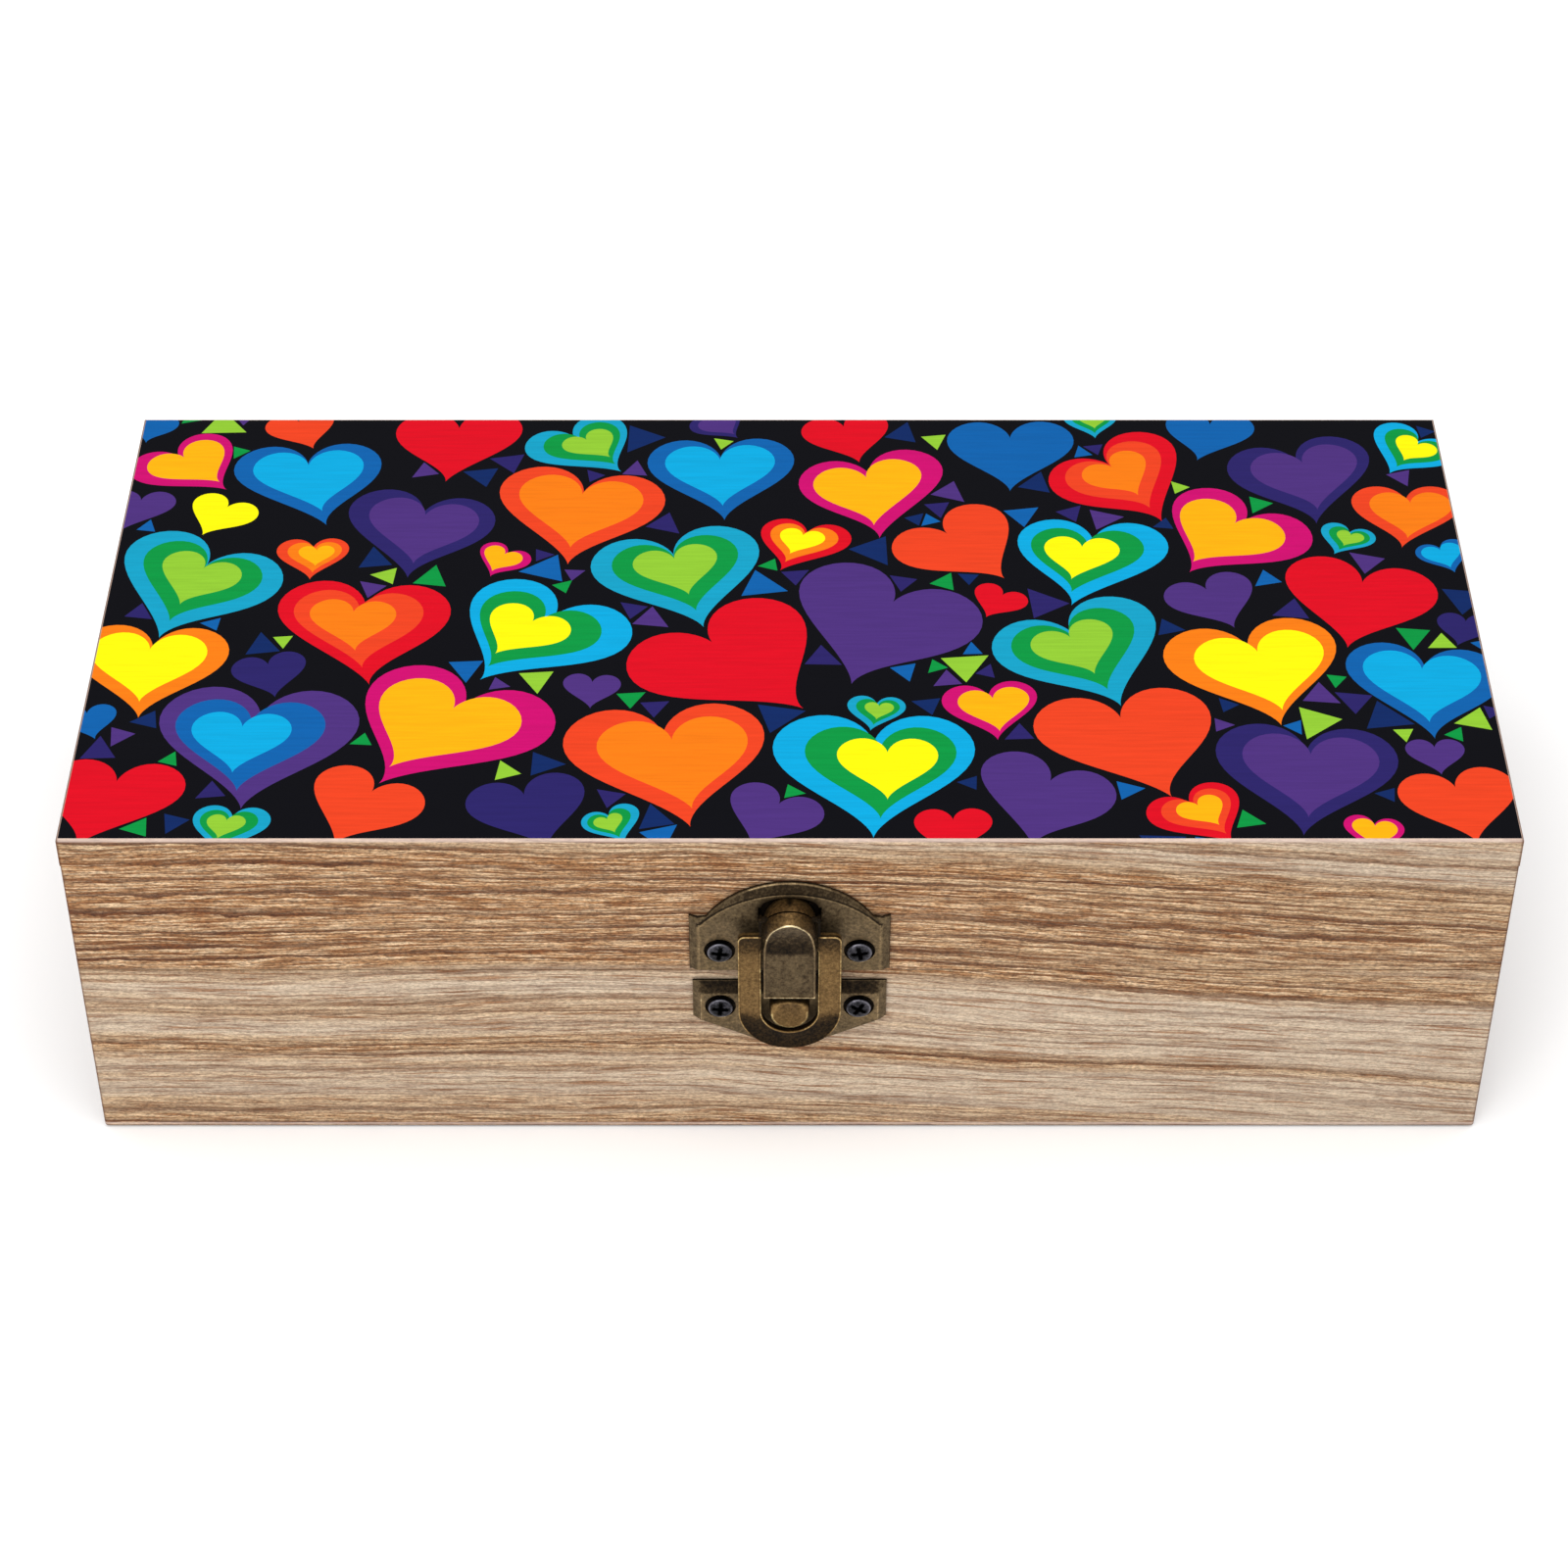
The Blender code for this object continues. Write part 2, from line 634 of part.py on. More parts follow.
def latch(metal, screw_metal, screw, hinge, walls):
    """The toggle latch. Its plates are screwed to the lid's front rail and the base's front board."""
    upper = lid_plate(metal, hinge)
    latch_pin(screw_metal, hinge)
    lever_pivot = pivot("latch_lever_pivot", FULCRUM, hinge)
    lever(metal, lever_pivot)
    loop_pivot = pivot("latch_loop_pivot", LOOP_PIVOT, lever_pivot)
    loop(metal, loop_pivot)
    lower = catch_plate(metal)
    screw_face = FRONT - PLATE_FACE + PLATE_RIM / 2
    for sign, word in ((-1, "left"), (1, "right")):
        across = sign * (LID_PLATE_WIDTH / 2 - LATCH_SCREW_INSET)
        point = Vector((across, screw_face, drop(LID_SCREW_DROP)))
        fasten(f"latch_lid_screw_{word}", point, -1, screw, upper, walls["lid"], screw_metal, hinge)
        point = Vector((across, screw_face, drop(CATCH_SCREW_DROP)))
        fasten(f"latch_catch_screw_{word}", point, -1, screw, lower, walls["base"], screw_metal, None)


def hinge_leaf(name, middle, upwards, knuckles, others, metal, parent):
    """A flat leaf with its own knuckles, cut clear of the other leaf's knuckles."""
    near = PARTING_HEIGHT + upwards * CONTACT_GAP / 2
    far = PARTING_HEIGHT + upwards * LEAF_HEIGHT
    face = BACK + CONTACT_GAP + LEAF_THICKNESS
    half = LEAF_WIDTH / 2
    low = (middle - half, BACK + CONTACT_GAP, min(near, far))
    flat = block(low, (middle + half, face, max(near, far)))
    centre = HINGE_AXIS + Vector((middle, 0.0, 0.0))
    tubes = [
        cylinder(KNUCKLE_RADIUS, centre + Vector((start, 0, 0)), centre + Vector((end, 0, 0)))
        for start, end in knuckles
    ]
    origin = Vector((middle, BACK, HINGE_AXIS.z))
    made = solid(name, from_origin(merged([flat, *tubes]), origin), metal, origin, parent, smooth=True)
    for number, (start, end) in enumerate(others):
        room = cylinder(
            KNUCKLE_RADIUS + CONTACT_GAP,
            centre + Vector((start - CONTACT_GAP, 0, 0)),
            centre + Vector((end + CONTACT_GAP, 0, 0)),
        )
        boolean(made, cutter(f"{name}_room_{number}", room, parent), "DIFFERENCE")
    reach = Vector((LEAF_WIDTH, 0.0, 0.0))
    bore = cylinder(HINGE_PIN_HOLE, centre - reach, centre + reach)
    boolean(made, cutter(name + "_pin_bore", bore, parent), "DIFFERENCE")
    return made


def hinge(side, middle, metal, screw_metal, screw, lid_pivot, walls):
    """A butt hinge on the back face: a lid leaf, a base leaf, a pin and four screws."""
    inner = MIDDLE_KNUCKLE / 2
    outer = LEAF_WIDTH / 2
    lid_knuckles = [(-inner, inner)]
    base_knuckles = [(-outer, -inner - CONTACT_GAP), (inner + CONTACT_GAP, outer)]
    leaves = {
        "lid": (1, lid_knuckles, base_knuckles, lid_pivot),
        "base": (-1, base_knuckles, lid_knuckles, None),
    }
    screw_face = BACK + CONTACT_GAP + LEAF_THICKNESS
    for word, (upwards, knuckles, others, parent) in leaves.items():
        name = f"hinge_{side}_{word}_leaf"
        leaf = hinge_leaf(name, middle, upwards, knuckles, others, metal, parent)
        level = PARTING_HEIGHT + upwards * (KNUCKLE_RADIUS + LEAF_HEIGHT) / 2
        for sign, end in ((-1, "left"), (1, "right")):
            point = Vector((middle + sign * HINGE_SCREW_SPACING / 2, screw_face, level))
            label = f"hinge_{side}_{word}_screw_{end}"
            fasten(label, point, 1, screw, leaf, walls[word], screw_metal, parent)
    centre = HINGE_AXIS + Vector((middle, 0.0, 0.0))
    reach = Vector((outer + CONTACT_GAP, 0.0, 0.0))
    pin = cylinder(HINGE_PIN_RADIUS, centre - reach, centre + reach)
    solid(f"hinge_{side}_pin", from_origin(pin, centre), screw_metal, centre, smooth=True)


def build():
    wood = material("paulownia", (0.55, 0.40, 0.27), 0.6, 0.0)
    printed = material("printed paulownia", (0.08, 0.08, 0.12), 0.4, 0.0)
    brass = material("antique brass", (0.20, 0.15, 0.08), 0.4, 1.0)
    dark = material("dark bronze", (0.07, 0.07, 0.08), 0.4, 1.0)
    lid_pivot = pivot("lid_hinge", HINGE_AXIS)
    base_boards = base(wood)
    lid_rails = lid(wood, printed, lid_pivot)
    screw = screw_mesh()
    latch(brass, dark, screw, lid_pivot, {"lid": lid_rails["front"], "base": base_boards["front"]})
    backs = {"lid": lid_rails["back"], "base": base_boards["back"]}
    for sign, side in ((-1, "left"), (1, "right")):
        hinge(side, sign * HINGE_SPACING / 2, brass, dark, screw, lid_pivot, backs)


clear_scene()
PARTS = collection("wooden_storage_box")
CUTTERS = collection("cutters")
CUTTERS.hide_render = True
build()
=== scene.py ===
import json
import math
import random

import bmesh
import bpy
import numpy as np
from mathutils import Matrix, Vector
from mathutils.geometry import delaunay_2d_cdt


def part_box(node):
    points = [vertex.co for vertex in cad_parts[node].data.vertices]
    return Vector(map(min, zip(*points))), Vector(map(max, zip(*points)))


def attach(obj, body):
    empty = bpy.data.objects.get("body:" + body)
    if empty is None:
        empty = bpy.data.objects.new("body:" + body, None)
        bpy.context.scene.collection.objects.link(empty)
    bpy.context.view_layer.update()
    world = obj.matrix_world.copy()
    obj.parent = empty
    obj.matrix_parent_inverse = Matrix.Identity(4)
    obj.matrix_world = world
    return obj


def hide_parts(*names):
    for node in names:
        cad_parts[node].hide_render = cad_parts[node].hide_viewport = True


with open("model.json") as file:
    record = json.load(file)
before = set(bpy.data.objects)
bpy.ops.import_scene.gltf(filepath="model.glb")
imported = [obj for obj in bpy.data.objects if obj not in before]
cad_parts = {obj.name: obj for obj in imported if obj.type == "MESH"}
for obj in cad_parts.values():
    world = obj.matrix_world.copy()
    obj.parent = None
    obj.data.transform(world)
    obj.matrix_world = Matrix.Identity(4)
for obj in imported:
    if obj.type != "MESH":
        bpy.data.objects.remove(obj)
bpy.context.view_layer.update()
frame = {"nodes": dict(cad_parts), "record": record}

NODES = frame["nodes"]
MM = 0.001
TINY = 0.004 * MM

# The box, read from the frame
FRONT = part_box("base_front_board")[0].y
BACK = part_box("base_back_board")[1].y
HALF_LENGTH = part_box("lid_top_board")[1].x
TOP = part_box("lid_top_board")[1].z
TOP_BOARD_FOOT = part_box("lid_top_board")[0].z
INNER_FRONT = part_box("base_front_board")[1].y
INNER_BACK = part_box("base_back_board")[0].y
INNER_HALF_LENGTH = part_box("base_right_board")[0].x
BASE_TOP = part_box("base_front_board")[1].z
LID_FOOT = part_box("lid_front_rail")[0].z
PARTING = (BASE_TOP + LID_FOOT) / 2
FLOOR_BOARD_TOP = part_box("base_bottom_board")[1].z

# How the boards are finished
OUTER_ROUND = 0.45 * MM
PARTING_ROUND = 0.16 * MM
PARTING_SLIT = 0.12 * MM
GLUE_LINE = 0.02 * MM

# The camera, the lights and the floor
CAMERA_PLACE = (-0.0008, -0.4366, 0.4147)
CAMERA_TILT = 48.22
CAMERA_LENS = 86.6
CAMERA_SENSOR = 36.0
WHITE = (1.0, 1.0, 1.0, 1.0)
FLOOR_SIZE = 6.0
FLOOR_DROP = 0.0002
FLOOR_THICKNESS = 0.02
WORLD_STRENGTH = 0.58
LIT_POINT = Vector((0.0, 0.0, 0.02))
# Each light's name, its place and size in metres, and its power in watts
LIGHTS = (("overhead", (0.0, -0.15, 1.1), 1.3, 10.0), ("front fill", (-0.35, -1.0, 0.55), 0.7, 4.6))


# Helpers

def set_up(thing, **settings):
    """Sets many of a thing's properties at once."""
    for key, value in settings.items():
        setattr(thing, key, value)
    return thing


def linked(name, data):
    """An object in the scene for a mesh, a light or a camera."""
    made = bpy.data.objects.new(name, data)
    bpy.context.scene.collection.objects.link(made)
    return made


def mesh_of(bm, name):
    """A mesh from a BMesh, which it frees, with the normals facing out."""
    bmesh.ops.recalc_face_normals(bm, faces=bm.faces)
    mesh = bpy.data.meshes.new(name)
    bm.to_mesh(mesh)
    bm.free()
    return mesh


def skinned(bm, rows, around=True):
    """Quads between rows of vertices, and triangles where a row is one point."""
    for upper, lower in zip(rows, rows[1:]):
        count = max(len(upper), len(lower))
        for i in range(count if around else count - 1):
            a, b, c, d = i % len(upper), (i + 1) % len(upper), (i + 1) % len(lower), i % len(lower)
            bm.faces.new(list(dict.fromkeys((upper[a], upper[b], lower[c], lower[d]))))


def ring_edges(first, count):
    """The edges round a ring of points, which are numbered from first on."""
    return [(first + i, first + (i + 1) % count) for i in range(count)]


# Shader nodes

class Surface:
    """A material's node tree, with short calls for the nodes that the looks are made of."""

    def __init__(self, name):
        self.material = bpy.data.materials.new(name)
        self.material.use_nodes = True
        self.tree = self.material.node_tree
        self.shader = self.tree.nodes["Principled BSDF"]

    def add(self, kind, values=None, **settings):
        node = set_up(self.tree.nodes.new(kind), **settings)
        for key, value in (values or {}).items():
            self.put(node.inputs[key], value)
        return node

    def put(self, socket, value):
        if isinstance(value, bpy.types.NodeSocket):
            self.tree.links.new(value, socket)
        else:
            socket.default_value = value

    def finish(self, **values):
        for key, value in values.items():
            self.put(self.shader.inputs[key.replace("_", " ")], value)
        return self.material

    def point(self):
        """The piece's own coordinates, which are the box's at rest, in millimetres."""
        values = {0: self.add("ShaderNodeTexCoord").outputs["Object"], "Scale": 1 / MM}
        return self.add("ShaderNodeVectorMath", values, operation="SCALE").outputs[0]

    def place(self):
        parts = self.add("ShaderNodeSeparateXYZ", {0: self.point()})
        return parts.outputs["X"], parts.outputs["Y"], parts.outputs["Z"]

    def attribute(self, name):
        return self.add("ShaderNodeAttribute", attribute_name=name).outputs["Fac"]

    def maths(self, operation, first, second=0.0, clamp=False):
        values = {0: first, 1: second}
        return self.add("ShaderNodeMath", values, operation=operation, use_clamp=clamp).outputs[0]

    def plus(self, first, second):
        return self.maths("ADD", first, second)

    def minus(self, first, second):
        return self.maths("SUBTRACT", first, second)

    def times(self, first, second):
        return self.maths("MULTIPLY", first, second)

    def vector(self, x, y, z):
        return self.add("ShaderNodeCombineXYZ", {"X": x, "Y": y, "Z": z}).outputs[0]

    def noise(self, vector, scale=1.0, detail=2.0, roughness=0.5):
        values = {"Vector": vector, "Scale": scale, "Detail": detail, "Roughness": roughness}
        return self.add("ShaderNodeTexNoise", values).outputs["Fac"]

    def ramp(self, factor, *stops):
        """Colour or grey stops, each a place from 0 to 1 and a colour or one grey number."""
        node = self.add("ShaderNodeValToRGB", {"Fac": factor})
        elements = node.color_ramp.elements
        while len(elements) < len(stops):
            elements.new(0.5)
        for element, (place, colour) in zip(elements, stops):
            element.position = place
            element.color = (colour, colour, colour, 1.0) if isinstance(colour, (int, float)) else colour
        return node.outputs["Color"]

    def mix(self, factor, first, second, blend="MIX"):
        values = {0: factor, 6: first, 7: second}
        return self.add("ShaderNodeMix", values, data_type="RGBA", blend_type=blend).outputs[2]

    def bump(self, height, distance, strength):
        values = {"Height": height, "Distance": distance, "Strength": strength}
        return self.add("ShaderNodeBump", values).outputs[0]


def colour(red, green, blue):
    """An sRGB colour, 0 to 255, as the linear RGBA that shaders take."""
    shares = [channel / 255 for channel in (red, green, blue)]
    linear = [s / 12.92 if s <= 0.04045 else ((s + 0.055) / 1.055) ** 2.4 for s in shares]
    return (*linear, 1.0)


# Wood

PALE = colour(197, 178, 155)
SAND = colour(184, 153, 117)
TAN = colour(172, 125, 80)
BROWN = colour(118, 68, 31)
DARK_BROWN = colour(83, 43, 17)
STREAK_BROWN = colour(140, 89, 46)
LIGHT_FIBRE = colour(226, 197, 161)
SANDED = colour(212, 189, 178)
# A grey for the painted shadow along the foot
FOOT_SHADOW_GREY = colour(96, 84, 80)

# How brown a level face is, how the grain climbs to the right, and how much paler it gets as it climbs
FLAT_BROWN = 0.42
LEAN_START, LEAN_SLOPE = 12.0, 0.075
PALING = 0.03

# How brown the front is at each height, as shares of the box's height
FRONT_BANDS = (
    (0.00, 0.62), (0.09, 0.46), (0.15, 0.14), (0.25, 0.16), (0.31, 0.66), (0.345, 0.22),
    (0.47, 0.20), (0.56, 0.34), (0.575, 0.78), (0.70, 0.67), (0.84, 0.76), (0.93, 0.71), (0.99, 0.42),
)


def wood(name, grain, bands=None):
    """Sanded paulownia. grain names the way its fibres run and the way its rings are counted."""
    s = Surface(name)
    x, y, z = s.place()
    along, across, through = {"XZ": (x, z, y), "YZ": (y, z, x), "XY": (x, y, z), "YX": (y, x, z)}[grain]

    def grained(along_scale, across_scale, level=across, through_share=0.35, **noise):
        """Noise that is stretched along the grain."""
        pairs = ((along, along_scale), (level, across_scale), (through, across_scale * through_share))
        return s.noise(s.vector(*(s.times(*pair) for pair in pairs)), **noise)

    def swing(noise, amount):
        return s.times(s.minus(noise, 0.5), amount)

    drift = grained(0.009, 0.03, detail=1.0)
    wander = grained(0.045, 0.16)
    lean = s.times(s.maths("MAXIMUM", s.plus(along, LEAN_START), 0.0), LEAN_SLOPE)
    level = s.plus(s.plus(across, lean), s.plus(swing(drift, 6.0), swing(wander, 1.3)))
    ripple = swing(grained(0.13, 0.3), 1.3)
    ragged = swing(grained(0.7, 2.2, roughness=0.7), 0.5)
    rippled = s.plus(s.plus(level, ripple), ragged)

    rings = grained(0.004, 0.36, level, detail=3.0, roughness=0.6)
    if bands is None:
        share = s.plus(swing(rings, 2.2), FLAT_BROWN)
    else:
        height = s.ramp(s.maths("DIVIDE", level, TOP / MM, clamp=True), *bands)
        share = s.minus(s.plus(swing(rings, 1.1), height), s.times(lean, PALING))
    share = s.maths("MULTIPLY", share, 1.0, clamp=True)

    def latewood(lines_per_mm, uneven, weak, *stops):
        """Dark lines along the grain, each with a sharp foot and a soft top."""
        swung = swing(grained(0.003, 0.1, level), uneven)
        line = s.ramp(s.maths("FRACT", s.plus(s.times(rippled, lines_per_mm), swung)), *stops)
        strength = grained(0.018, 0.5 * lines_per_mm, level)
        return s.times(line, s.ramp(strength, (0.36, weak), (0.6, 1.0)))

    bold = latewood(0.34, 4.0, 0.45, (0.0, 0.0), (0.03, 1.0), (0.16, 0.9), (0.28, 0.35), (0.55, 0.0))
    fine = latewood(0.85, 6.0, 0.15, (0.0, 0.0), (0.05, 1.0), (0.2, 0.7), (0.4, 0.0))
    streak = s.ramp(grained(0.055, 1.5, level, detail=5.0, roughness=0.72), (0.39, 1.0), (0.47, 0.0))
    dashes = grained(0.15, 3.0, level, detail=3.0, roughness=0.62)
    fleck = s.ramp(dashes, (0.52, 0.0), (0.58, 1.0))
    dash = s.ramp(dashes, (0.4, 1.0), (0.46, 0.0))
    pore = s.ramp(grained(0.6, 5.5, level, roughness=0.6), (0.36, 1.0), (0.44, 0.0))
    grit = grained(1.7, 3.8, across, 1.0, roughness=0.75)

    tone = s.ramp(share, (0.12, PALE), (0.45, SAND), (0.85, TAN))
    # Each ink, where it lies, and how strongly by how brown the wood is there
    layers = (
        (STREAK_BROWN, streak, (0.1, 0.75), (0.7, 0.85)),
        (LIGHT_FIBRE, fleck, (0.2, 0.2), (0.6, 0.7)),
        (DARK_BROWN, fine, (0.1, 0.38), (0.6, 0.8)),
        (DARK_BROWN, bold, (0.1, 0.38), (0.6, 1.0)),
        (BROWN, dash, (0.1, 0.35), (0.7, 0.8)),
        (DARK_BROWN, pore, (0.1, 0.25), (0.7, 0.7)),
    )
    for ink, mask, *strengths in layers:
        tone = s.mix(s.times(mask, s.ramp(share, *strengths)), tone, ink)
    gritty = s.mix(1.0, tone, s.ramp(grit, (0.36, 0.56), (0.62, 1.28)), "MULTIPLY")
    tone = s.mix(s.ramp(share, (0.15, 0.55), (0.6, 1.0)), tone, gritty)
    if bands is not None:
        tone = sanded_and_shaded_edges(s, tone, x, z)

    relief = s.times(s.plus(streak, s.times(pore, 0.8)), -1.0)
    relief = s.plus(relief, s.times(grit, 0.6))
    normal = s.bump(relief, 0.08 * MM, 0.6)
    rough = s.ramp(share, (0.0, 0.62), (1.0, 0.72))
    return s.finish(Base_Color=tone, Roughness=rough, Normal=normal, Specular_IOR_Level=0.25)


def sanded_and_shaded_edges(s, tone, x, z):
    """A pale sanded strip under the lid's top, painted shade that darkens the outer corners, and a painted
    shadow along the foot.
    """
    drop = s.minus(TOP / MM, z)
    side = s.minus(HALF_LENGTH / MM, s.maths("ABSOLUTE", x))
    strips = (
        (drop, SANDED, (0.3, 0.7), (0.62, 0.0)),
        # Painted shade along the outer corners
        (side, DARK_BROWN, (0.16, 0.7), (0.42, 0.0)),
        (z, SANDED, (0.4, 0.0), (0.6, 0.6), (0.8, 0.6), (1.0, 0.0)),
        # Painted shadow along the foot
        (z, FOOT_SHADOW_GREY, (0.22, 0.75), (0.5, 0.0)),
    )
    for distance, ink, *strengths in strips:
        tone = s.mix(s.ramp(distance, *strengths), tone, ink)
    return tone


# Meshes

def piece(name, mesh, body, surfaces, replaced=()):
    """A piece that rides on a body and stands for the CAD nodes that it replaces."""
    made = linked(name, mesh)
    for surface in surfaces:
        if surface.name not in mesh.materials:
            mesh.materials.append(surface)
    if replaced:
        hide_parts(*replaced)
    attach(made, body)
    return made


def applied(made):
    """Works an object's modifiers into its mesh."""
    bpy.context.view_layer.update()
    mesh = bpy.data.meshes.new_from_object(made.evaluated_get(bpy.context.evaluated_depsgraph_get()))
    old = made.data
    made.modifiers.clear()
    made.data = mesh
    bpy.data.meshes.remove(old)


def smooth(mesh, degrees=35):
    mesh.shade_smooth()
    mesh.set_sharp_from_angle(angle=math.radians(degrees))


# The boards

def board_mesh(low, high):
    """A box between two corners."""
    low, high = Vector(low), Vector(high)
    bm = bmesh.new()
    bmesh.ops.create_cube(bm, size=1.0)
    bmesh.ops.scale(bm, vec=high - low, verts=bm.verts)
    bmesh.ops.translate(bm, vec=(low + high) / 2, verts=bm.verts)
    return mesh_of(bm, "board")


def edge_width(point):
    """How wide the rounding is on a board's edge there."""
    near = 0.01 * MM
    side = abs(abs(point.x) - HALF_LENGTH) < near
    face = min(abs(point.y - FRONT), abs(point.y - BACK)) < near
    end = min(abs(point.z), abs(point.z - TOP)) < near
    if side + face + end >= 2:
        return OUTER_ROUND
    return PARTING_ROUND if abs(point.z - PARTING) < PARTING_SLIT else 0.0


def board(name, low, high, body, surface, level_surface):
    """A board with rounded edges. Its top and foot take a wood whose rings are counted across them."""
    mesh = board_mesh(low, high)
    weights = mesh.attributes.new("bevel_weight_edge", "FLOAT", "EDGE").data
    for edge in mesh.edges:
        start, end = (mesh.vertices[index].co for index in edge.vertices)
        weights[edge.index].value = edge_width((start + end) / 2) / OUTER_ROUND
    made = piece(name + "_wood", mesh, body, [surface, level_surface], [name])
    bevel = made.modifiers.new("Rounded edges", "BEVEL")
    set_up(bevel, width=OUTER_ROUND, segments=4, limit_method="WEIGHT")
    applied(made)
    smooth(made.data)
    for face in made.data.polygons:
        face.material_index = int(abs(face.normal.z) > 0.9)


def boards():
    front = wood("paulownia front", "XZ", FRONT_BANDS)
    side = wood("paulownia side", "YZ", FRONT_BANDS)
    flat = wood("paulownia flat", "XY")
    flat_side = wood("paulownia flat side", "YX")
    half, inner, seam = HALF_LENGTH, INNER_HALF_LENGTH, GLUE_LINE / 2
    front_end, back_end = INNER_FRONT + seam, INNER_BACK - seam
    base = ("base", "board", 0.0, PARTING - PARTING_SLIT / 2)
    lid = ("lid", "rail", PARTING + PARTING_SLIT / 2, TOP_BOARD_FOOT - GLUE_LINE)
    for body, word, foot, top in (base, lid):
        places = {
            "front": ((-half, FRONT, foot), (half, INNER_FRONT, top), front, flat),
            "back": ((-half, INNER_BACK, foot), (half, BACK, top), front, flat),
            "left": ((-half, front_end, foot), (-inner, back_end, top), side, flat_side),
            "right": ((inner, front_end, foot), (half, back_end, top), side, flat_side),
        }
        for place, (low, high, *surfaces) in places.items():
            board(f"{body}_{place}_{word}", low, high, body, *surfaces)
    low = (seam - inner, front_end, 0.0)
    high = (inner - seam, back_end, FLOOR_BOARD_TOP)
    board("base_bottom_board", low, high, "base", flat, flat)


boards()


# The print on the lid: plain hearts and small triangles, laid out by a rule of its own

INK = {
    "black": (9, 9, 15), "red": (216, 10, 32), "scarlet": (230, 66, 32), "orange": (241, 122, 18),
    "amber": (248, 174, 12), "yellow": (248, 240, 8), "magenta": (200, 10, 108), "purple": (76, 48, 122),
    "indigo": (42, 34, 100), "navy": (14, 40, 96), "blue": (12, 94, 166), "azure": (8, 164, 216),
    "turquoise": (20, 156, 192), "green": (8, 146, 64), "lime": (142, 196, 52),
}
HEART_INKS = (
    ("red", "scarlet", "amber"), ("red", "orange", "yellow"), ("scarlet", "orange", "amber"), ("red",),
    ("red", "scarlet", "orange"), ("red",), ("scarlet", "orange"), ("purple", "red"), ("scarlet",),
    ("blue", "azure"), ("purple", "blue", "azure"), ("indigo", "purple"), ("purple",), ("blue", "azure"),
    ("turquoise", "green", "lime"), ("azure", "green", "yellow"), ("magenta", "amber"), ("orange", "yellow"),
)
SMALL_HEART_INKS = HEART_INKS + (
    ("red",), ("purple",), ("purple",), ("blue",), ("yellow",), ("green", "lime"), ("scarlet",), ("indigo",),
)
TRIANGLE_INKS = ("navy", "indigo", "purple", "green", "blue", "navy", "purple", "indigo", "navy", "lime")
# Sizes in millimetres, each with how many are tried
LARGE_HEARTS = ((29, 6), (26, 9), (23, 14))
SMALL_HEARTS = ((20, 18), (17, 20), (14, 24), (11, 26), (8.5, 20))
TRIANGLES = ((8.0, 12), (6.2, 26), (4.8, 36), (3.6, 36))
HEART_POINTS = 72
HEART_GAP = 1.25
TRIANGLE_GAP = 0.75
HEART_TILTS = (-38, 38)
TRIANGLE_TILTS = (0, 360)
PRINT_BEND = 0.32
PRINT_LEAN = 70
INNER_HEART_STEP = 0.25
INNER_HEART_SLIDE = 0.17
PRINT_MARGIN = 9.0
PRINT_CELL = 0.5
PRINT_TRIES = 900
# How far a shape keeps clear of others, and how far round it they are counted, in gaps
CLEAR_GAPS, CROWD_GAPS = 2.3, 7
PRINT_SEED = 11
PRINT_MERGE = 0.0005
LID_HALF_X = HALF_LENGTH / MM
LID_HALF_Y = (BACK - FRONT) / 2 / MM
TOP_ROUND = 0.3 * MM
TOP_ROUND_STEPS = 5
PRINT_HALF_X = LID_HALF_X - TOP_ROUND / MM
PRINT_HALF_Y = LID_HALF_Y - TOP_ROUND / MM


def heart(size, bend):
    """The textbook heart curve, with size as its width and its tail bent to one side."""
    turn = np.linspace(0, 2 * math.pi, HEART_POINTS, endpoint=False)
    across = 16 * np.sin(turn) ** 3
    up = 13 * np.cos(turn) - 5 * np.cos(2 * turn) - 2 * np.cos(3 * turn) - np.cos(4 * turn)
    fall = np.clip((4 - up) / 21, 0, 1) ** 2
    return np.stack([across + 16 * bend * fall, up + 2.5], 1) * size / 32


def triangle(size, bend):
    turn = np.radians([90, 215, 325])
    return np.stack([np.cos(turn), np.sin(turn)], 1) * size / 2


def turned(outline, degrees):
    angle = math.radians(degrees)
    spin = np.array([[math.cos(angle), math.sin(angle)], [-math.sin(angle), math.cos(angle)]])
    return outline @ spin


def inside(outline, points):
    """Which points lie inside a closed outline, by counting the edges to their right."""
    within = np.zeros(len(points), bool)
    for (x1, y1), (x2, y2) in zip(outline, np.roll(outline, -1, axis=0)):
        if y1 == y2:
            continue
        crosses = (y1 > points[:, 1]) != (y2 > points[:, 1])
        within ^= crosses & (points[:, 0] < x1 + (points[:, 1] - y1) * (x2 - x1) / (y2 - y1))
    return within


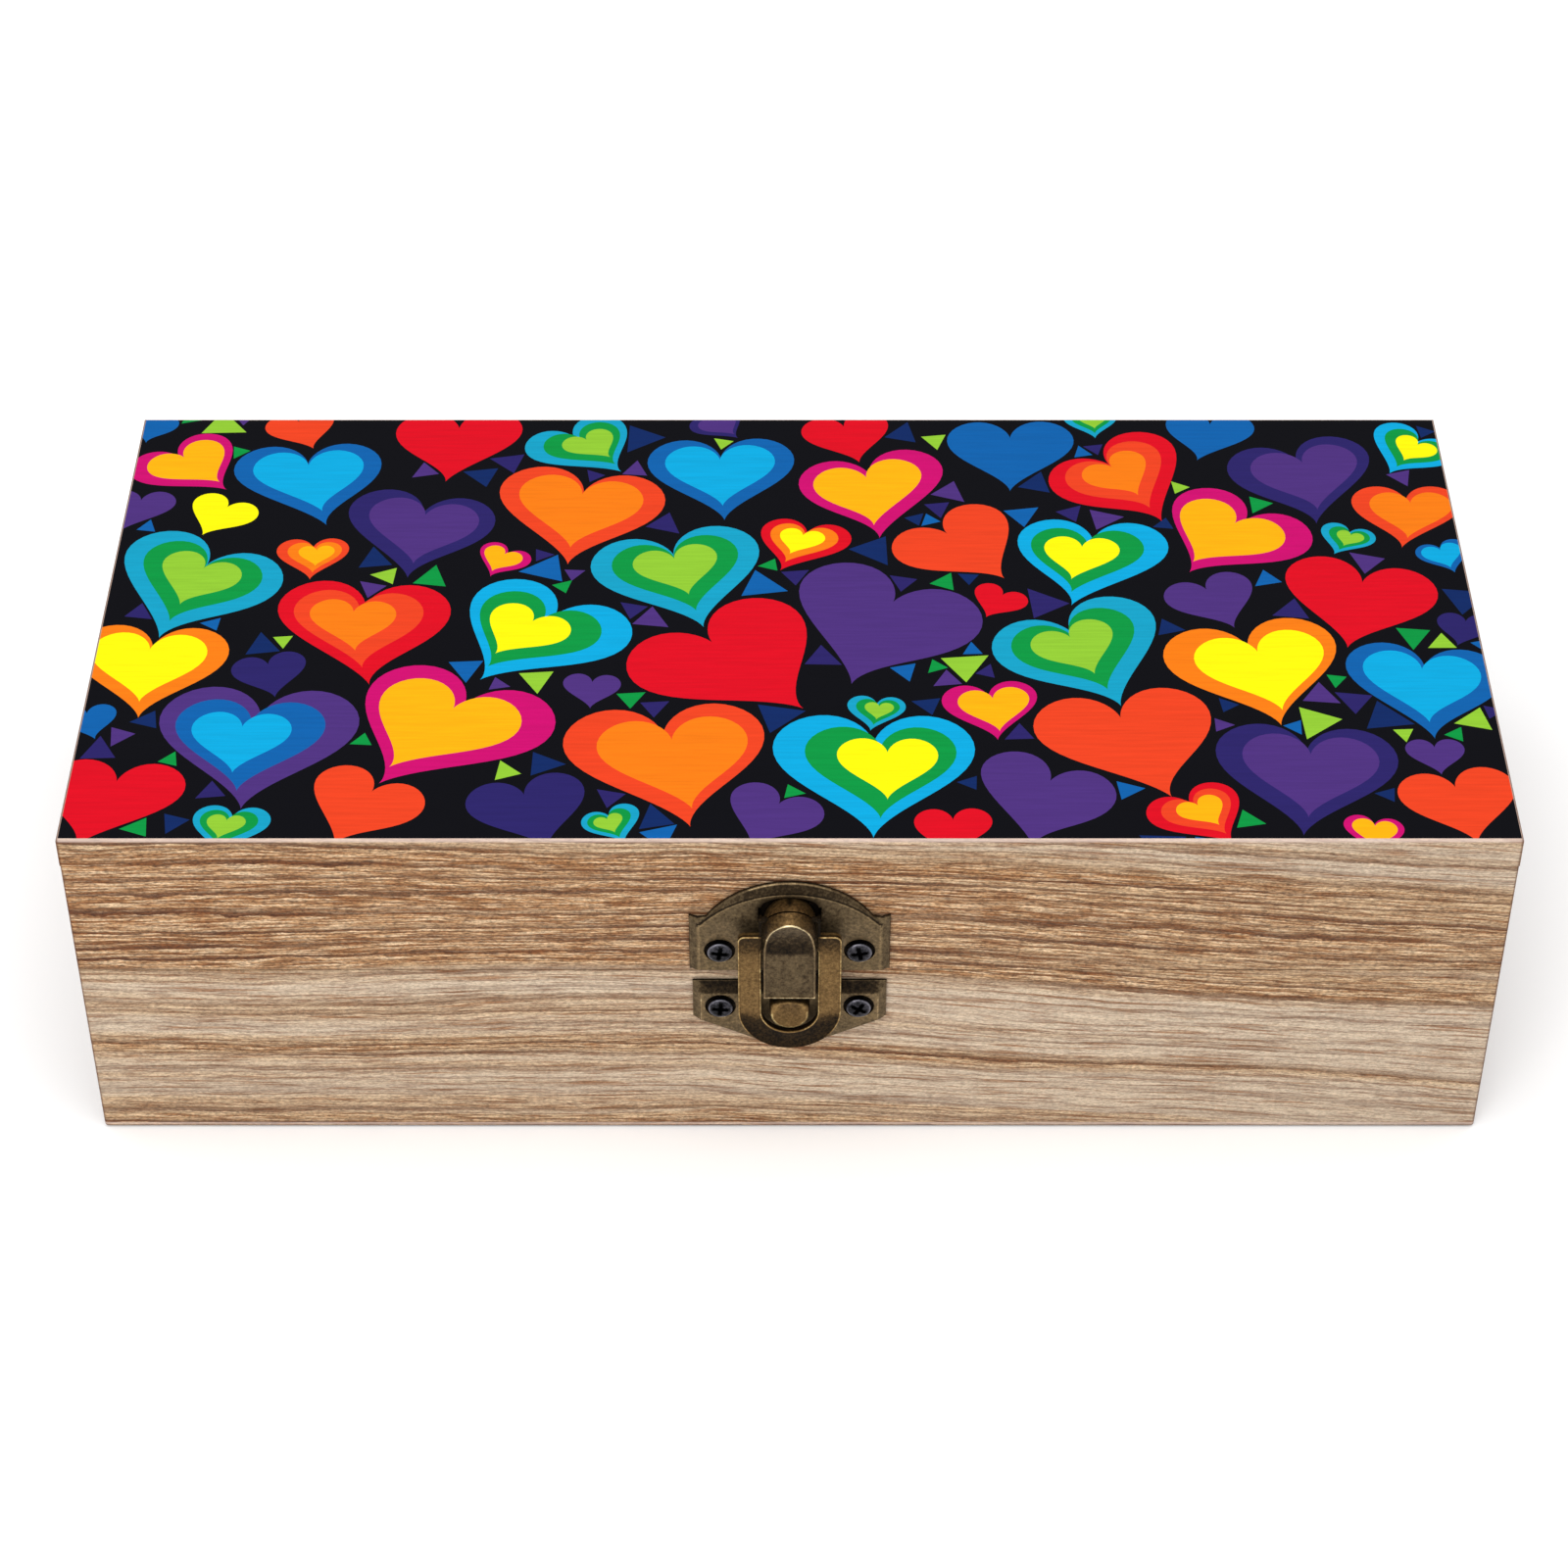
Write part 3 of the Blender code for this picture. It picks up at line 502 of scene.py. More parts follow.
class Layout:
    """Packs shapes on the lid, each as close to its neighbours as a gap allows."""

    def __init__(self):
        self.random = random.Random(PRINT_SEED)
        self.reach = (LID_HALF_X + PRINT_MARGIN, LID_HALF_Y + PRINT_MARGIN)
        self.taken = np.zeros([int(2 * reach / PRINT_CELL) for reach in self.reach], bool)
        self.shapes = []

    def stamp(self, outline):
        """The grid cells that an outline covers, around its own middle."""
        reach = int(np.abs(outline).max() / PRINT_CELL) + 2
        steps = np.arange(-reach, reach + 1)
        cells = np.stack(np.meshgrid(steps, steps, indexing="ij"), -1)
        return inside(outline, cells.reshape(-1, 2) * PRINT_CELL).reshape(cells.shape[:2]), reach

    def window(self, column, row, reach):
        return self.taken[column - reach:column + reach + 1, row - reach:row + reach + 1]

    def place(self, shape, size, gap, tilt, bend):
        """The best of many places for a shape: free of the others, with the most around it."""
        room, reach = self.stamp(turned(shape(size + CLEAR_GAPS * gap, bend), tilt))
        crowd, wide = self.stamp(turned(shape(size + CROWD_GAPS * gap, bend), tilt))
        best, best_score = None, -1.0
        for _ in range(PRINT_TRIES):
            column = self.random.randrange(wide, self.taken.shape[0] - wide)
            row = self.random.randrange(wide, self.taken.shape[1] - wide)
            if (self.window(column, row, reach) & room).any():
                continue
            score = (self.window(column, row, wide) & crowd).sum() + self.random.random()
            if score > best_score:
                best, best_score = (column, row), score
        if best is None:
            return None
        stamp, reach = self.stamp(turned(shape(size, bend), tilt))
        self.window(*best, reach)[stamp] = True
        return np.array(best) * PRINT_CELL - self.reach

    def inks(self, middle, choices):
        """Inks that the nearest shapes don't have."""
        near = sorted(self.shapes, key=lambda other: np.hypot(*(other["middle"] - middle)))[:4]
        used = {other["inks"][0] for other in near} | {other["inks"][-1] for other in near[:2]}
        options = [inks for inks in choices if inks[0] not in used and inks[-1] not in used]
        return self.random.choice(options or list(choices))

    def fill(self, shape, sizes, gap, tilts, choices):
        for size, count in sizes:
            for _ in range(count):
                tilt = self.random.uniform(*tilts)
                bend = self.random.uniform(-PRINT_BEND, PRINT_BEND)
                middle = self.place(shape, size, gap, tilt, bend)
                if middle is None:
                    continue
                inks = self.inks(middle, choices)
                made = {"middle": middle, "inks": inks, "outlines": []}
                lean = self.random.uniform(-PRINT_LEAN, PRINT_LEAN)
                for layer in range(len(inks)):
                    share = 1 - layer * INNER_HEART_STEP
                    slide = turned(np.array([[0.0, (1 - share) * size * INNER_HEART_SLIDE]]), lean)
                    made["outlines"].append(turned(shape(size * share, bend), tilt) + slide + middle)
                self.shapes.append(made)


def print_layout():
    layout = Layout()
    layout.fill(heart, LARGE_HEARTS, HEART_GAP, HEART_TILTS, HEART_INKS)
    layout.fill(heart, SMALL_HEARTS, HEART_GAP, HEART_TILTS, SMALL_HEART_INKS)
    layout.fill(triangle, TRIANGLES, TRIANGLE_GAP, TRIANGLE_TILTS, [(ink,) for ink in TRIANGLE_INKS])
    return layout.shapes


def print_faces(shapes):
    """The lid's top cut into flat faces along every outline, each with its ink."""
    corners = ((-1, -1), (1, -1), (1, 1), (-1, 1))
    points = [Vector((x * PRINT_HALF_X, y * PRINT_HALF_Y)) for x, y in corners]
    edges = ring_edges(0, len(corners))
    outlines = [(ink, outline) for s in shapes for ink, outline in zip(s["inks"], s["outlines"])]
    for _, outline in outlines:
        edges += ring_edges(len(points), len(outline))
        points += [Vector(point) for point in outline]
    found, _, faces, *_ = delaunay_2d_cdt(points, edges, [], 0, PRINT_MERGE)
    found = np.array([tuple(point) for point in found])
    middles = np.array([found[face].mean(axis=0) for face in faces])
    kept = (np.abs(middles[:, 0]) < PRINT_HALF_X) & (np.abs(middles[:, 1]) < PRINT_HALF_Y)
    inks = np.full(len(faces), "black", dtype=object)
    for ink, outline in outlines:
        low, high = outline.min(axis=0), outline.max(axis=0)
        near = np.flatnonzero(((middles > low) & (middles < high)).all(axis=1))
        inks[near[inside(outline, middles[near])]] = ink
    return found, [face for face, keep in zip(faces, kept) if keep], inks[kept]


def border(found):
    """The points on the printed face's edge in order, with the way out from each."""
    near = 0.001
    rows = []
    for index, (x, y) in enumerate(found):
        out_x = round(x / PRINT_HALF_X) if abs(abs(x) - PRINT_HALF_X) < near else 0
        out_y = round(y / PRINT_HALF_Y) if abs(abs(y) - PRINT_HALF_Y) < near else 0
        if (out_x or out_y) and abs(x) < PRINT_HALF_X + near and abs(y) < PRINT_HALF_Y + near:
            rows.append((math.atan2(y / PRINT_HALF_Y, x / PRINT_HALF_X), index, (out_x, out_y)))
    return [(index, out) for _, index, out in sorted(rows)]


def printed_surface():
    s = Surface("print on wood")
    ink = s.add("ShaderNodeVertexColor", layer_name="ink").outputs["Color"]
    x, y, z = s.place()
    fibre = s.noise(s.vector(s.times(x, 0.12), s.times(y, 2.6), z), detail=3.0)
    tone = s.mix(1.0, ink, s.ramp(fibre, (0.3, 0.82), (0.7, 0.94)), "MULTIPLY")
    normal = s.bump(fibre, 0.03 * MM, 0.35)
    rough = s.ramp(fibre, (0.2, 0.5), (0.8, 0.58))
    return s.finish(Base_Color=tone, Roughness=rough, Normal=normal, Specular_IOR_Level=0.04)


def printed_top(edge_wood, under_wood):
    """The lid's top board: a printed face, a rounded bare edge and a bare underside."""
    found, faces, inks = print_faces(print_layout())
    bm = bmesh.new()
    verts = [bm.verts.new((x * MM, y * MM, TOP)) for x, y in found]
    layer = bm.loops.layers.float_color.new("ink")
    for face, ink in zip(faces, inks):
        made = bm.faces.new([verts[i] for i in face])
        made.material_index = 1
        for loop in made.loops:
            loop[layer] = colour(*INK[ink])
    ring = border(found)
    rows = [[verts[index] for index, _ in ring]]
    turns = [math.pi / 2 * (i + 1) / TOP_ROUND_STEPS for i in range(TOP_ROUND_STEPS)]
    levels = [(math.sin(turn) * TOP_ROUND, TOP - (1 - math.cos(turn)) * TOP_ROUND) for turn in turns]
    for out, height in levels + [(TOP_ROUND, TOP_BOARD_FOOT)]:
        row = []
        for vert, (_, (side_x, side_y)) in zip(rows[0], ring):
            row.append(bm.verts.new((vert.co.x + side_x * out, vert.co.y + side_y * out, height)))
        rows.append(row)
    skinned(bm, rows)
    bm.faces.new(rows[-1][::-1]).material_index = 2
    loose = [vert for vert in bm.verts if not vert.link_faces]
    bmesh.ops.delete(bm, geom=loose, context="VERTS")
    mesh = mesh_of(bm, "printed top")
    surfaces = [edge_wood, printed_surface(), under_wood]
    piece("lid_top_board_printed", mesh, "lid", surfaces, ["lid_top_board"])
    smooth(mesh)


printed_top(bpy.data.materials["paulownia front"], bpy.data.materials["paulownia flat"])


# Metal, with a number on each point for its patina and its painted light: 0 in dark hollows and painted
# shade, 1 on rubbed edges and painted highlights

GREY_BRASS = ((20, 15, 10), (52, 41, 27), (94, 79, 57), (128, 107, 76), (236, 216, 170))
GOLD_BRASS = ((22, 16, 9), (58, 43, 23), (103, 79, 47), (138, 110, 68), (236, 212, 150))
BRONZE = ((4, 4, 5), (24, 24, 27), (70, 69, 75), (116, 114, 122), (176, 172, 184))


def patinated(name, tones):
    """Metal whose tone runs through evenly spaced ones as its patina-and-light number and its wear rise. The
    number carries patina and also painted shade and highlights.
    """
    s = Surface(name)
    place = s.point()
    clouds = s.noise(place, 0.5, 3.0, 0.6)
    specks = s.noise(place, 2.0, 5.0, 0.8)
    # The attribute paints shade and highlights as well as patina; the noise adds wear.
    wear_and_light = s.plus(s.attribute("patina_and_light"), s.times(s.minus(clouds, 0.5), 0.3))
    wear_and_light = s.plus(wear_and_light, s.times(s.minus(specks, 0.5), 0.95))
    rough = s.ramp(wear_and_light, (0.0, 0.6), (0.5, 0.42), (1.0, 0.22))
    normal = s.bump(specks, 0.03 * MM, 0.5)
    tone = s.ramp(wear_and_light, *((i / (len(tones) - 1), colour(*tone)) for i, tone in enumerate(tones)))
    return s.finish(Base_Color=tone, Metallic=0.65, Roughness=rough, Normal=normal, Specular_IOR_Level=0.08)


GREY = patinated("antique brass", GREY_BRASS)
GOLD = patinated("rubbed antique brass", GOLD_BRASS)
DARK = patinated("dark bronze", BRONZE)


# Shapes of the fittings, in millimetres: across, down from the lid's top, and out from the front

FITTING_SHARP = 40
LONGEST_SIDE = 0.8
CAP_MERGE = 0.00001


def at(across, down, out):
    return Vector((across * MM, FRONT - out * MM, TOP - down * MM))


def arc(centre, radius, start, end, steps, rise=None):
    """Points along an arc, between angles in degrees: 0 is to the right and 90 is up."""
    tall = radius if rise is None else rise
    turns = np.radians(np.linspace(start, end, steps + 1))
    return [(centre[0] + radius * math.cos(turn), centre[1] - tall * math.sin(turn)) for turn in turns]


def divided(outline, guide):
    """An outline with each side cut into short ones, as many as the guide's side needs."""
    made = []
    for i, start in enumerate(outline):
        j = (i + 1) % len(outline)
        count = max(1, math.ceil(math.dist(guide[i], guide[j]) / LONGEST_SIDE))
        start, end = Vector(start), Vector(outline[j])
        made += [tuple(start.lerp(end, k / count)) for k in range(count)]
    return made


def inset(outline, distance):
    """An outline moved inwards by a distance. Its points run anticlockwise as seen from the front."""
    moved = []
    for i, point in enumerate(outline):
        here = Vector(point)
        before = (here - Vector(outline[i - 1])).normalized()
        after = (Vector(outline[(i + 1) % len(outline)]) - here).normalized()
        middle = Vector((before.y, -before.x)) + Vector((after.y, -after.x))
        middle = middle / max(middle.length_squared / 2, 0.35)
        moved.append(tuple(here + middle * distance))
    return moved


def blend(value, start, end, before, after):
    """A smooth step from one number to another, as a value goes from start to end."""
    share = min(max((value - start) / (end - start), 0.0), 1.0)
    share = share * share * (3 - 2 * share)
    return before + (after - before) * share


def ruled(value, across, down):
    """A number as it is, or what a rule gives at a place."""
    return value(across, down) if callable(value) else value


class Form:
    """A mesh built from rows of points, each with its patina-and-light number, which is a number or a rule
    of its place. It sets patina and also painted shade and highlights.
    """

    def __init__(self):
        self.bm = bmesh.new()
        self.layer = self.bm.verts.layers.float.new("patina_and_light")

    def vert(self, across, down, out, patina_and_light):
        made = self.bm.verts.new(at(across, down, ruled(out, across, down)))
        made[self.layer] = ruled(patina_and_light, across, down)
        return made

    def row(self, outline, out, patina_and_light):
        return [self.vert(across, down, out, patina_and_light) for across, down in outline]

    def cap(self, loops, extra=()):
        """Fills the face inside a loop of vertices, round its holes and through extra vertices."""
        verts = [vert for loop in loops for vert in loop] + list(extra)
        points = [Vector((vert.co.x / MM, vert.co.z / MM)) for vert in verts]
        edges, arrays, first = [], [], 0
        for loop in loops:
            edges += ring_edges(first, len(loop))
            arrays.append(np.array([tuple(point) for point in points[first:first + len(loop)]]))
            first += len(loop)
        _, _, faces, origins, *_ = delaunay_2d_cdt(points, edges, [], 0, CAP_MERGE)
        for face in faces:
            corners = [origins[i][0] for i in face]
            middle = np.mean([tuple(points[i]) for i in corners], axis=0)[None, :]
            if inside(arrays[0], middle)[0] and not any(inside(hole, middle)[0] for hole in arrays[1:]):
                self.bm.faces.new([verts[i] for i in corners])

    def stack(self, outside, *holes):
        """A plate from rows, front to back: the outside's first and then each hole's."""
        stacks = [[self.row(*row) for row in rows] for rows in (outside, *holes)]
        for rows in stacks:
            skinned(self.bm, rows)
        self.cap([rows[0] for rows in stacks])
        self.cap([rows[-1] for rows in stacks])
        return self

    def bar(self, start, end, radius, patina_and_light):
        """A closed round bar between two points."""
        start, end = at(*start), at(*end)
        along = end - start
        place = Matrix.Translation((start + end) / 2) @ along.to_track_quat("Z", "Y").to_matrix().to_4x4()
        made = bmesh.ops.create_cone(
            self.bm, cap_ends=True, segments=24, radius1=radius * MM, radius2=radius * MM,
            depth=along.length, matrix=place,
        )
        for vert in made["verts"]:
            vert[self.layer] = patina_and_light

    def shell(self, rows):
        """Skin round a closed section, from one side to the other, with both ends shut."""
        skinned(self.bm, rows + [rows[0]], around=False)
        for end in (0, -1):
            self.bm.faces.new([row[end] for row in rows])
        return self.mesh()

    def slab(self, outline, left, right, patina_and_light):
        """A plate that stands on edge: its outline is in down and out, and it runs across."""
        rows = [[self.vert(across, down, out, patina_and_light) for down, out in outline] for across in (left, right)]
        skinned(self.bm, rows)
        for row in rows:
            self.bm.faces.new(row)

    def mesh(self):
        return fitting_mesh(self.bm)


def fitting_mesh(bm):
    mesh = mesh_of(bm, "fitting")
    smooth(mesh, FITTING_SHARP)
    return mesh


def joined(*meshes):
    bm = bmesh.new()
    for mesh in meshes:
        bm.from_mesh(mesh)
    return fitting_mesh(bm)


# The latch's plates

PLATE_BACK, PLATE_FACE, PLATE_EDGE = 0.3, 1.2, 0.55
FULCRUM_DOWN, FULCRUM_OUT = 14.6, 2.7
SCREW_ACROSS = 10.0
LID_SCREW_DOWN, CATCH_SCREW_DOWN = 20.5, 31.7
SINK_RADIUS = 2.24
PARTING_DOWN = (TOP - PARTING) / MM
TAB_HALF, TAB_GAP = 4.7, 0.12
EAR_INNER, EAR_OUTER = 1.95, 2.85
HOOD_INNER, HOOD_OUTER, HOOD_HALF = 4.61, 4.68, 3.86
HOOD_START, HOOD_END = -46, 14
HOOK_HALF, HOOK_TOP, HOOK_FOOT = 2.9, 29.9, 31.45


def sinks(down):
    """The rows of a plate's two countersunk screw holes, with a painted highlight on the lip and painted
    shade inside the hole.
    """
    rows = ((0.1, 0.0, 0.55), (0.0, 0.06, 0.75), (-0.05, 0.2, 0.02), (-0.1, 0.5, 0.0), (-1.3, 0.9, 0.0))
    return [
        [(arc((across, down), SINK_RADIUS + wider, 0, 352.5, 47), PLATE_FACE - deep, patina_and_light)
         for wider, deep, patina_and_light in rows]
        for across in (-SCREW_ACROSS, SCREW_ACROSS)
    ]


def lid_plate_outline(half, shoulder, ledge, apex, foot):
    """Straight sides, a horn and a ledge at each shoulder, and an arch over the top."""
    reach = half - ledge
    rise = shoulder - apex
    radius = (reach**2 + rise**2) / (2 * rise)
    sweep = math.degrees(math.asin(reach / radius))
    crown = arc((0.0, apex + radius), radius, 90 - sweep, 90 + sweep, 48)
    horn = min(ledge * 0.12, 0.3)
    dip = half - ledge * 0.5
    return [
        (-half, foot), (half, foot), (half, shoulder - horn), (dip, shoulder + horn * 0.7),
        *crown, (-dip, shoulder + horn * 0.7), (-half, shoulder - horn),
    ]


def lid_plate():
    """The lid's plate, with an arched border, a slot under the hood and two screw holes."""
    outer = lid_plate_outline(half=14.35, shoulder=14.2, ledge=2.45, apex=7.6, foot=24.45)
    edge = divided(outer, outer)

    def line(half, shoulder, apex):
        return divided(lid_plate_outline(half, shoulder, ledge=0.3, apex=apex, foot=24.3), outer)

    # On the arch the groove is painted dark as shade; on the sides it is painted bright as a highlight.
    def arched(on_arch, straight):
        return lambda across, down: on_arch if down < 15.6 and abs(across) < 13.18 else straight

    # Painted shade: the top of the border is darker at its middle, where it faces up.
    def border(across, down):
        return 0.42 - (blend(abs(across), 5.5, 9.5, 0.2, 0.0) if down < 13 else 0.0)

    # Painted highlight along the top of the border near its outer edge.
    def crown(across, down):
        return 0.78 if down < 9.5 and abs(across) < 6 else 0.5

    rows = [
        (line(12.7, 15.8, 9.75), PLATE_FACE, arched(0.48, 0.5)),
        (line(12.95, 15.5, 9.58), PLATE_FACE, 0.66),
        (line(13.1, 15.35, 9.44), PLATE_FACE - 0.08, arched(0.0, 0.6)),
        (line(13.35, 15.05, 9.22), PLATE_FACE - 0.06, border),
        (inset(edge, 0.3), 0.86, border),
        (inset(edge, 0.12), 0.74, crown),
        (edge, PLATE_EDGE, 0.2),
        (edge, PLATE_BACK, 0.0),
    ]
    slot_half, slot_foot, slot_top = 4.45, 14.7, 12.0
    slot = [
        (-slot_half, slot_foot), (slot_half, slot_foot), (slot_half, slot_top),
        *arc((0.0, slot_top), slot_half - 0.4, 0, 180, 32, rise=1.85), (-slot_half, slot_top),
    ]
    # The slot's walls are painted dark as shade.
    opening = [
        (inset(slot, -0.12), PLATE_FACE, 0.36), (slot, PLATE_FACE - 0.1, 0.1), (slot, PLATE_BACK, 0.0),
    ]
    return Form().stack(rows, opening, *sinks(LID_SCREW_DOWN)).mesh()


def tab(top, foot):
    """The rows of a tab that runs from a plate to the parting, behind the loop, kept dark as a painted
    shadow.
    """
    outline = [(-TAB_HALF, foot), (TAB_HALF, foot), (TAB_HALF, top), (-TAB_HALF, top)]
    return [(outline, 0.9, 0.0), (outline, PLATE_BACK, 0.0)]


def lugs():
    """The two ears that hold the latch pin, a dark sheet behind the slot that is a painted shadow, and the
    upper tab.
    """
    form = Form()
    ear = [(15.6, 0.5), (15.6, FULCRUM_OUT)]
    for turn in np.linspace(0.2, math.pi - 0.2, 12):
        ear.append((FULCRUM_DOWN + math.cos(turn), FULCRUM_OUT + math.sin(turn)))
    ear += [(13.6, FULCRUM_OUT), (14.4, 0.9), (14.76, 0.5)]
    for inner, outer in ((EAR_INNER, EAR_OUTER), (-EAR_OUTER, -EAR_INNER)):
        form.slab(ear, inner, outer, 0.12)
    # A dark sheet on the wood behind the slot: painted shadow.
    lining = [(-4.9, 15.2), (4.9, 15.2), (4.9, 11.0), (3.2, 9.3), (-3.2, 9.3), (-4.9, 11.0)]
    form.stack([(lining, 0.12, 0.0), (lining, 0.02, 0.0)])
    return form.stack(tab(24.3, PARTING_DOWN - TAB_GAP)).mesh()


def from_fulcrum(turn, radius):
    """Down and out at an angle in front of straight up from the latch pin, and a distance from it."""
    angle = math.radians(turn)
    return FULCRUM_DOWN - radius * math.cos(angle), FULCRUM_OUT + radius * math.sin(angle)


def hood():
    """The hood pressed out of the lid plate, which the lever's round head turns under."""
    form = Form()
    dent = 0.05
    turns = np.linspace(HOOD_START, HOOD_END, 19)
    # Painted light and shade: the hood is darker towards the back, at its sides and in the notch, and
    # lighter at its front middle.
    profile = [(turn, HOOD_OUTER, blend(turn, -40, -12, 0.2, 0.4)) for turn in turns]
    profile += [(turn, HOOD_INNER, 0.35 if turn == HOOD_END else 0.0) for turn in turns[::-1]]
    rows = []
    for turn, radius, patina_and_light in profile:
        row = []
        for angle in np.radians(np.linspace(-80, 80, 33)):
            across = HOOD_HALF * math.sin(angle)
            share = math.cos(angle)
            notch = math.exp(-((across / 0.42) ** 2)) * blend(turn, -6, 8, 1.0, 0.0) if patina_and_light else 0.0
            down, out = from_fulcrum(turn, radius * share + 0.5 * (1 - share) - dent * notch)
            painted_light = patina_and_light * (0.25 + 0.75 * share) * (1 - notch)
            row.append(form.vert(across, down, out, painted_light))
        rows.append(row)
    return form.shell(rows)


def catch_outline(half, top, kink, toe, pull):
    """Straight sides that taper to a shallow rounded toe."""
    taper, rise = 38.95, 1.3
    radius = (toe**2 + rise**2) / (2 * rise)
    sweep = math.degrees(math.asin(toe / radius))
    bottom = arc((0.0, taper + rise - radius - pull), radius, 270 - sweep, 270 + sweep, 16)
    return [(-half, top), (-half, kink), *bottom, (half, kink), (half, top)]


def catch_plate():
    """The base's plate, whose upper lip and sides fall away from a raised face."""
    outer = catch_outline(half=14.0, top=26.95, kink=34.15, toe=4.2, pull=0.0)
    edge = divided(outer, outer)

    def line(*shape):
        return divided(catch_outline(*shape), outer)

    # Painted light: the top bevel, which faces up, is painted dark as shade, and the side bevels are painted
    # bright as highlights.
    def rule(upper, side, lower):
        def patina_and_light(across, down):
            if down < 29.4:
                return blend(abs(across), 12.4, 13.4, upper, side)
            return side if abs(across) > 12.4 and down < 34.6 else lower
        return patina_and_light

    rows = [
        (line(12.7, 29.25, 34.4, 4.15, 0.3), PLATE_FACE, rule(0.55, 0.6, 0.5)),
        (line(12.8, 29.1, 34.46, 4.16, 0.24), PLATE_FACE - 0.02, rule(0.3, 0.75, 0.7)),
        (line(12.95, 28.85, 34.5, 4.18, 0.18), PLATE_FACE - 0.1, rule(0.14, 0.5, 0.4)),
        (inset(edge, 0.14), 0.68, rule(0.05, 0.42, 0.25)),
        (inset(edge, 0.05), 0.6, rule(0.35, 0.6, 0.2)),
        (edge, PLATE_EDGE - 0.05, 0.1),
        (edge, PLATE_BACK, 0.0),
    ]
    return Form().stack(rows, *sinks(CATCH_SCREW_DOWN)).mesh()


def hook():
    """The rounded tab on the catch plate that stands in the loop's window."""
    def outline(pull):
        half = HOOK_HALF - pull
        top = arc((0.0, HOOK_TOP), half, 0, 180, 24, rise=0.41 * half)
        return [*arc((0.0, HOOK_FOOT), half, 180, 360, 40), *top[1:-1]]

    # Painted light: the tab's top is painted dark as the shadow under the tongue, its lower rim bright, with
    # two painted highlights near its top corners.
    def shaded(low, high):
        def patina_and_light(across, down):
            painted_glint = math.exp(-((abs(across) - 1.7) ** 2 + (down - 30.5) ** 2) / 0.35)
            return blend(down, 29.6, 31.6, low, high) + 0.6 * painted_glint * low
        return patina_and_light

    rows = (
        (1.8, 3.14, 0.4, 0.42), (1.3, 3.18, 0.45, 0.44), (0.95, 3.2, 0.62, 0.46), (0.62, 3.2, 0.56, 0.5),
        (0.44, 3.19, 0.4, 0.8), (0.26, 3.13, 0.34, 0.95), (0.12, 2.96, 0.2, 0.5), (0.0, 2.6, 0.1, 0.2),
        (0.0, 0.9, 0.0, 0.0),
    )
    return Form().stack([(outline(pull), out, shaded(low, high)) for pull, out, low, high in rows]).mesh()


# The lever and the loop

TONGUE_HALF, TONGUE_TIP, CREST_DOWN, CREST_RISE = 3.75, 26.4, 11.2, 6.2
TONGUE_BACK, TONGUE_FACE = 4.0, 5.0
HOLLOW_START, HOLLOW_DEPTH, CREST_LIFT = 17.8, 0.3, 0.73
FLAT_TOP, FLAT_FOOT, FLAT_HALF = 12.0, 25.7, 2.75
HEAD_RADIUS, HEAD_END = 4.54, 16
WEB_OVERLAP, WEB_PATINA = 0.3, 0.15
LOOP_BACK, LOOP_FACE = 2.7, 3.7
BAR_HALF, BAR_DOWN, BAR_OUT, BAR_RADIUS = 4.3, 12.3, 3.2, 0.45


def dished(down):
    """How far out the lever's face lies: flat at the tip, then a hollow that rises to the crest."""
    share = min(max((HOLLOW_START - down) / (HOLLOW_START - CREST_DOWN), 0.0), 1.0)
    return TONGUE_FACE + CREST_LIFT * share**2 - HOLLOW_DEPTH * math.sin(math.pi * share) ** 2


def tongue():
    """The lever's tongue, with a raised rim round a flat that sinks into a hollow under the crest."""
    form = Form()
    crest = arc((0.0, CREST_DOWN + CREST_RISE), TONGUE_HALF, 0, 180, 36, rise=CREST_RISE)
    outline = [(-TONGUE_HALF, TONGUE_TIP), (TONGUE_HALF, TONGUE_TIP), *crest]
    edge = divided(outline, outline)

    # Painted highlight: the rim is brightest as a glint at the top of the crest and dimmer down the sides.
    def rim(strength):
        def patina_and_light(across, down):
            glint = 1.7 * math.exp(-((across / 1.0) ** 2)) if down < 13 else 0.0
            arch = blend(down, 13.5, 18.0, 0.86, 0.56)
            tip = blend(down, 26.0, 26.3, 0.0, 0.35)
            return (arch + tip + glint) * strength
        return patina_and_light

    # Painted shade: the flat darkens into the hollow under the crest.
    def flat(across, down):
        hollow = blend(down, CREST_DOWN + 0.6, HOLLOW_START - 0.5, 0.4, 0.1)
        return blend(down, HOLLOW_START - 0.5, HOLLOW_START + 0.2, hollow, 0.4)

    def sunk(depth):
        return lambda across, down: dished(down) - depth

    rows = (
        (inset(edge, 0.5), sunk(0.15), flat),
        (inset(edge, 0.36), sunk(0.1), rim(0.55)),
        (inset(edge, 0.26), sunk(0.0), rim(1.0)),
        (inset(edge, 0.14), sunk(0.0), rim(1.0)),
        (inset(edge, 0.03), sunk(0.1), rim(0.7)),
        (edge, sunk(0.25), rim(0.4)),
        (edge, TONGUE_BACK, 0.05),
        (inset(edge, 0.15), TONGUE_BACK, 0.35),
    )
    rows = [form.row(*row) for row in rows]
    skinned(form.bm, rows)
    outline = np.array([(vert.co.x / MM, vert.co.z / MM) for vert in rows[0]])
    grid = []
    for down in np.linspace(FLAT_TOP, FLAT_FOOT, 56):
        for across in np.linspace(-FLAT_HALF, FLAT_HALF, 12):
            if inside(outline, np.array([[across, TOP / MM - down]]))[0]:
                grid.append(form.vert(across, down, sunk(0.15), flat))
    form.cap([rows[0]], grid)
    form.cap([rows[-1]])
    return form.mesh()


